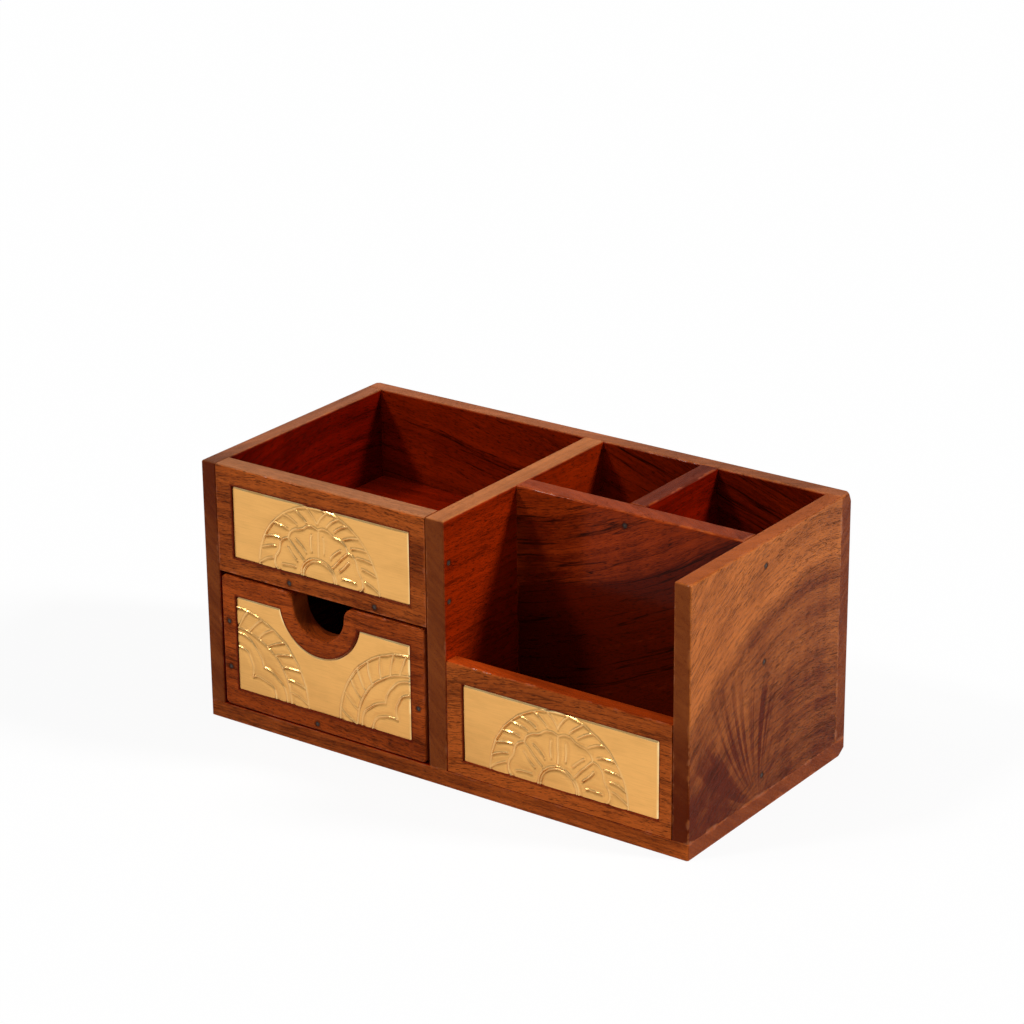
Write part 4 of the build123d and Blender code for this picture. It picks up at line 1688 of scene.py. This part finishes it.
class PENSTAND_OT_stage(bpy.types.Operator):
    """Set up the white floor, the lamps and the camera"""

    bl_idname = "penstand.stage"
    bl_label = "Stage"

    def execute(self, context):
        stage = context.scene.pen_stand_stage
        scene = context.scene
        scene.view_settings.view_transform = "Standard"

        world = bpy.data.worlds.new("white room")
        world.use_nodes = True
        scene.world = world
        nodes = NodeBuilder(world.node_tree)
        background = world.node_tree.nodes["Background"]
        background.inputs["Color"].default_value = (1, 1, 1, 1)
        strength = nodes.math("MAXIMUM", seen_white(nodes, 0.4), stage.ambient)
        nodes.feed(background.inputs["Strength"], strength)

        reach = 3.0
        mesh = bpy.data.meshes.new("floor")
        corners = [(-reach, -reach, 0), (reach, -reach, 0), (reach, reach, 0), (-reach, reach, 0)]
        mesh.from_pydata(corners, [], [(0, 1, 2, 3)])
        floor = new_piece("floor", mesh)
        material = bpy.data.materials.new("white floor")
        material.use_nodes = True
        nodes = NodeBuilder(material.node_tree)
        shader = material.node_tree.nodes["Principled BSDF"]
        camera_ray = nodes.add("ShaderNodeLightPath").outputs["Is Camera Ray"]
        glossy_ray = nodes.add("ShaderNodeLightPath").outputs["Is Glossy Ray"]
        nodes.feed(
            shader.inputs["Base Color"], nodes.mix(camera_ray, (0.65, 0.65, 0.65, 1), (0.1, 0.1, 0.1, 1))
        )
        shader.inputs["Roughness"].default_value = 0.9
        shader.inputs["Specular IOR Level"].default_value = 0.0
        shader.inputs["Emission Color"].default_value = (1, 1, 1, 1)
        glow = nodes.sum(nodes.math("MULTIPLY", camera_ray, 0.9), nodes.math("MULTIPLY", glossy_ray, 0.33))
        nodes.feed(shader.inputs["Emission Strength"], glow)
        mesh.materials.append(material)

        softbox("side", 112, 34, 10, stage.side_light)
        softbox("top", 0, 84, 50, stage.top_light)
        softbox("front", -38, 47, 8, stage.front_light)
        softbox("glint", -58, 54, 12, stage.glint)

        back = Vector(
            (
                math.sin(stage.azimuth) * math.cos(stage.elevation),
                -math.cos(stage.azimuth) * math.cos(stage.elevation),
                math.sin(stage.elevation),
            )
        )
        level = AXES["Z"].cross(back).normalized()
        upright = back.cross(level)
        right = level * math.cos(stage.roll) + upright * math.sin(stage.roll)
        up = back.cross(right)
        camera = bpy.data.objects.new("camera", bpy.data.cameras.new("camera"))
        scene.collection.objects.link(camera)
        camera.data.lens = stage.lens
        camera.data.sensor_width = 36.0
        place = back * stage.distance + level * stage.aside[0] + upright * stage.aside[1]
        turn = Matrix((right, up, back)).transposed().to_4x4()
        camera.matrix_world = Matrix.Translation(place) @ turn
        scene.camera = camera
        return {"FINISHED"}


# ---- Add-on ----
OPERATORS = (
    PENSTAND_OT_stage,
    PENSTAND_OT_outer_boards,
    PENSTAND_OT_inner_boards,
    PENSTAND_OT_fronts,
    PENSTAND_OT_drawer_box,
    PENSTAND_OT_half_flower_plates,
    PENSTAND_OT_drawer_plate,
    PENSTAND_OT_nails,
)
PROPERTIES = {
    "pen_stand_stage": PenStandStage,
    "pen_stand_wood": PenStandWood,
    "pen_stand_brass": PenStandBrass,
    "pen_stand_nails": PenStandNails,
}


class PENSTAND_PT_panel(bpy.types.Panel):
    """Lists the steps that finish the pen stand"""

    bl_idname = "PENSTAND_PT_panel"
    bl_label = "Pen Stand"
    bl_space_type = "VIEW_3D"
    bl_region_type = "UI"
    bl_category = "Pen Stand"

    def draw(self, context):
        for operator in OPERATORS:
            self.layout.operator(operator.bl_idname)
        for name, group in PROPERTIES.items():
            box = self.layout.box()
            for key in group.__annotations__:
                box.prop(getattr(context.scene, name), key)


def register():
    for group in PROPERTIES.values():
        bpy.utils.register_class(group)
    for name, group in PROPERTIES.items():
        setattr(bpy.types.Scene, name, PointerProperty(type=group))
    for operator in OPERATORS:
        bpy.utils.register_class(operator)
    bpy.utils.register_class(PENSTAND_PT_panel)


def unregister():
    bpy.utils.unregister_class(PENSTAND_PT_panel)
    for operator in reversed(OPERATORS):
        bpy.utils.unregister_class(operator)
    for name, group in PROPERTIES.items():
        delattr(bpy.types.Scene, name)
        bpy.utils.unregister_class(group)


def main():
    register()
    for operator in OPERATORS:
        module, name = operator.bl_idname.split(".")
        getattr(getattr(bpy.ops, module), name)()


if __name__ == "__main__":
    main()
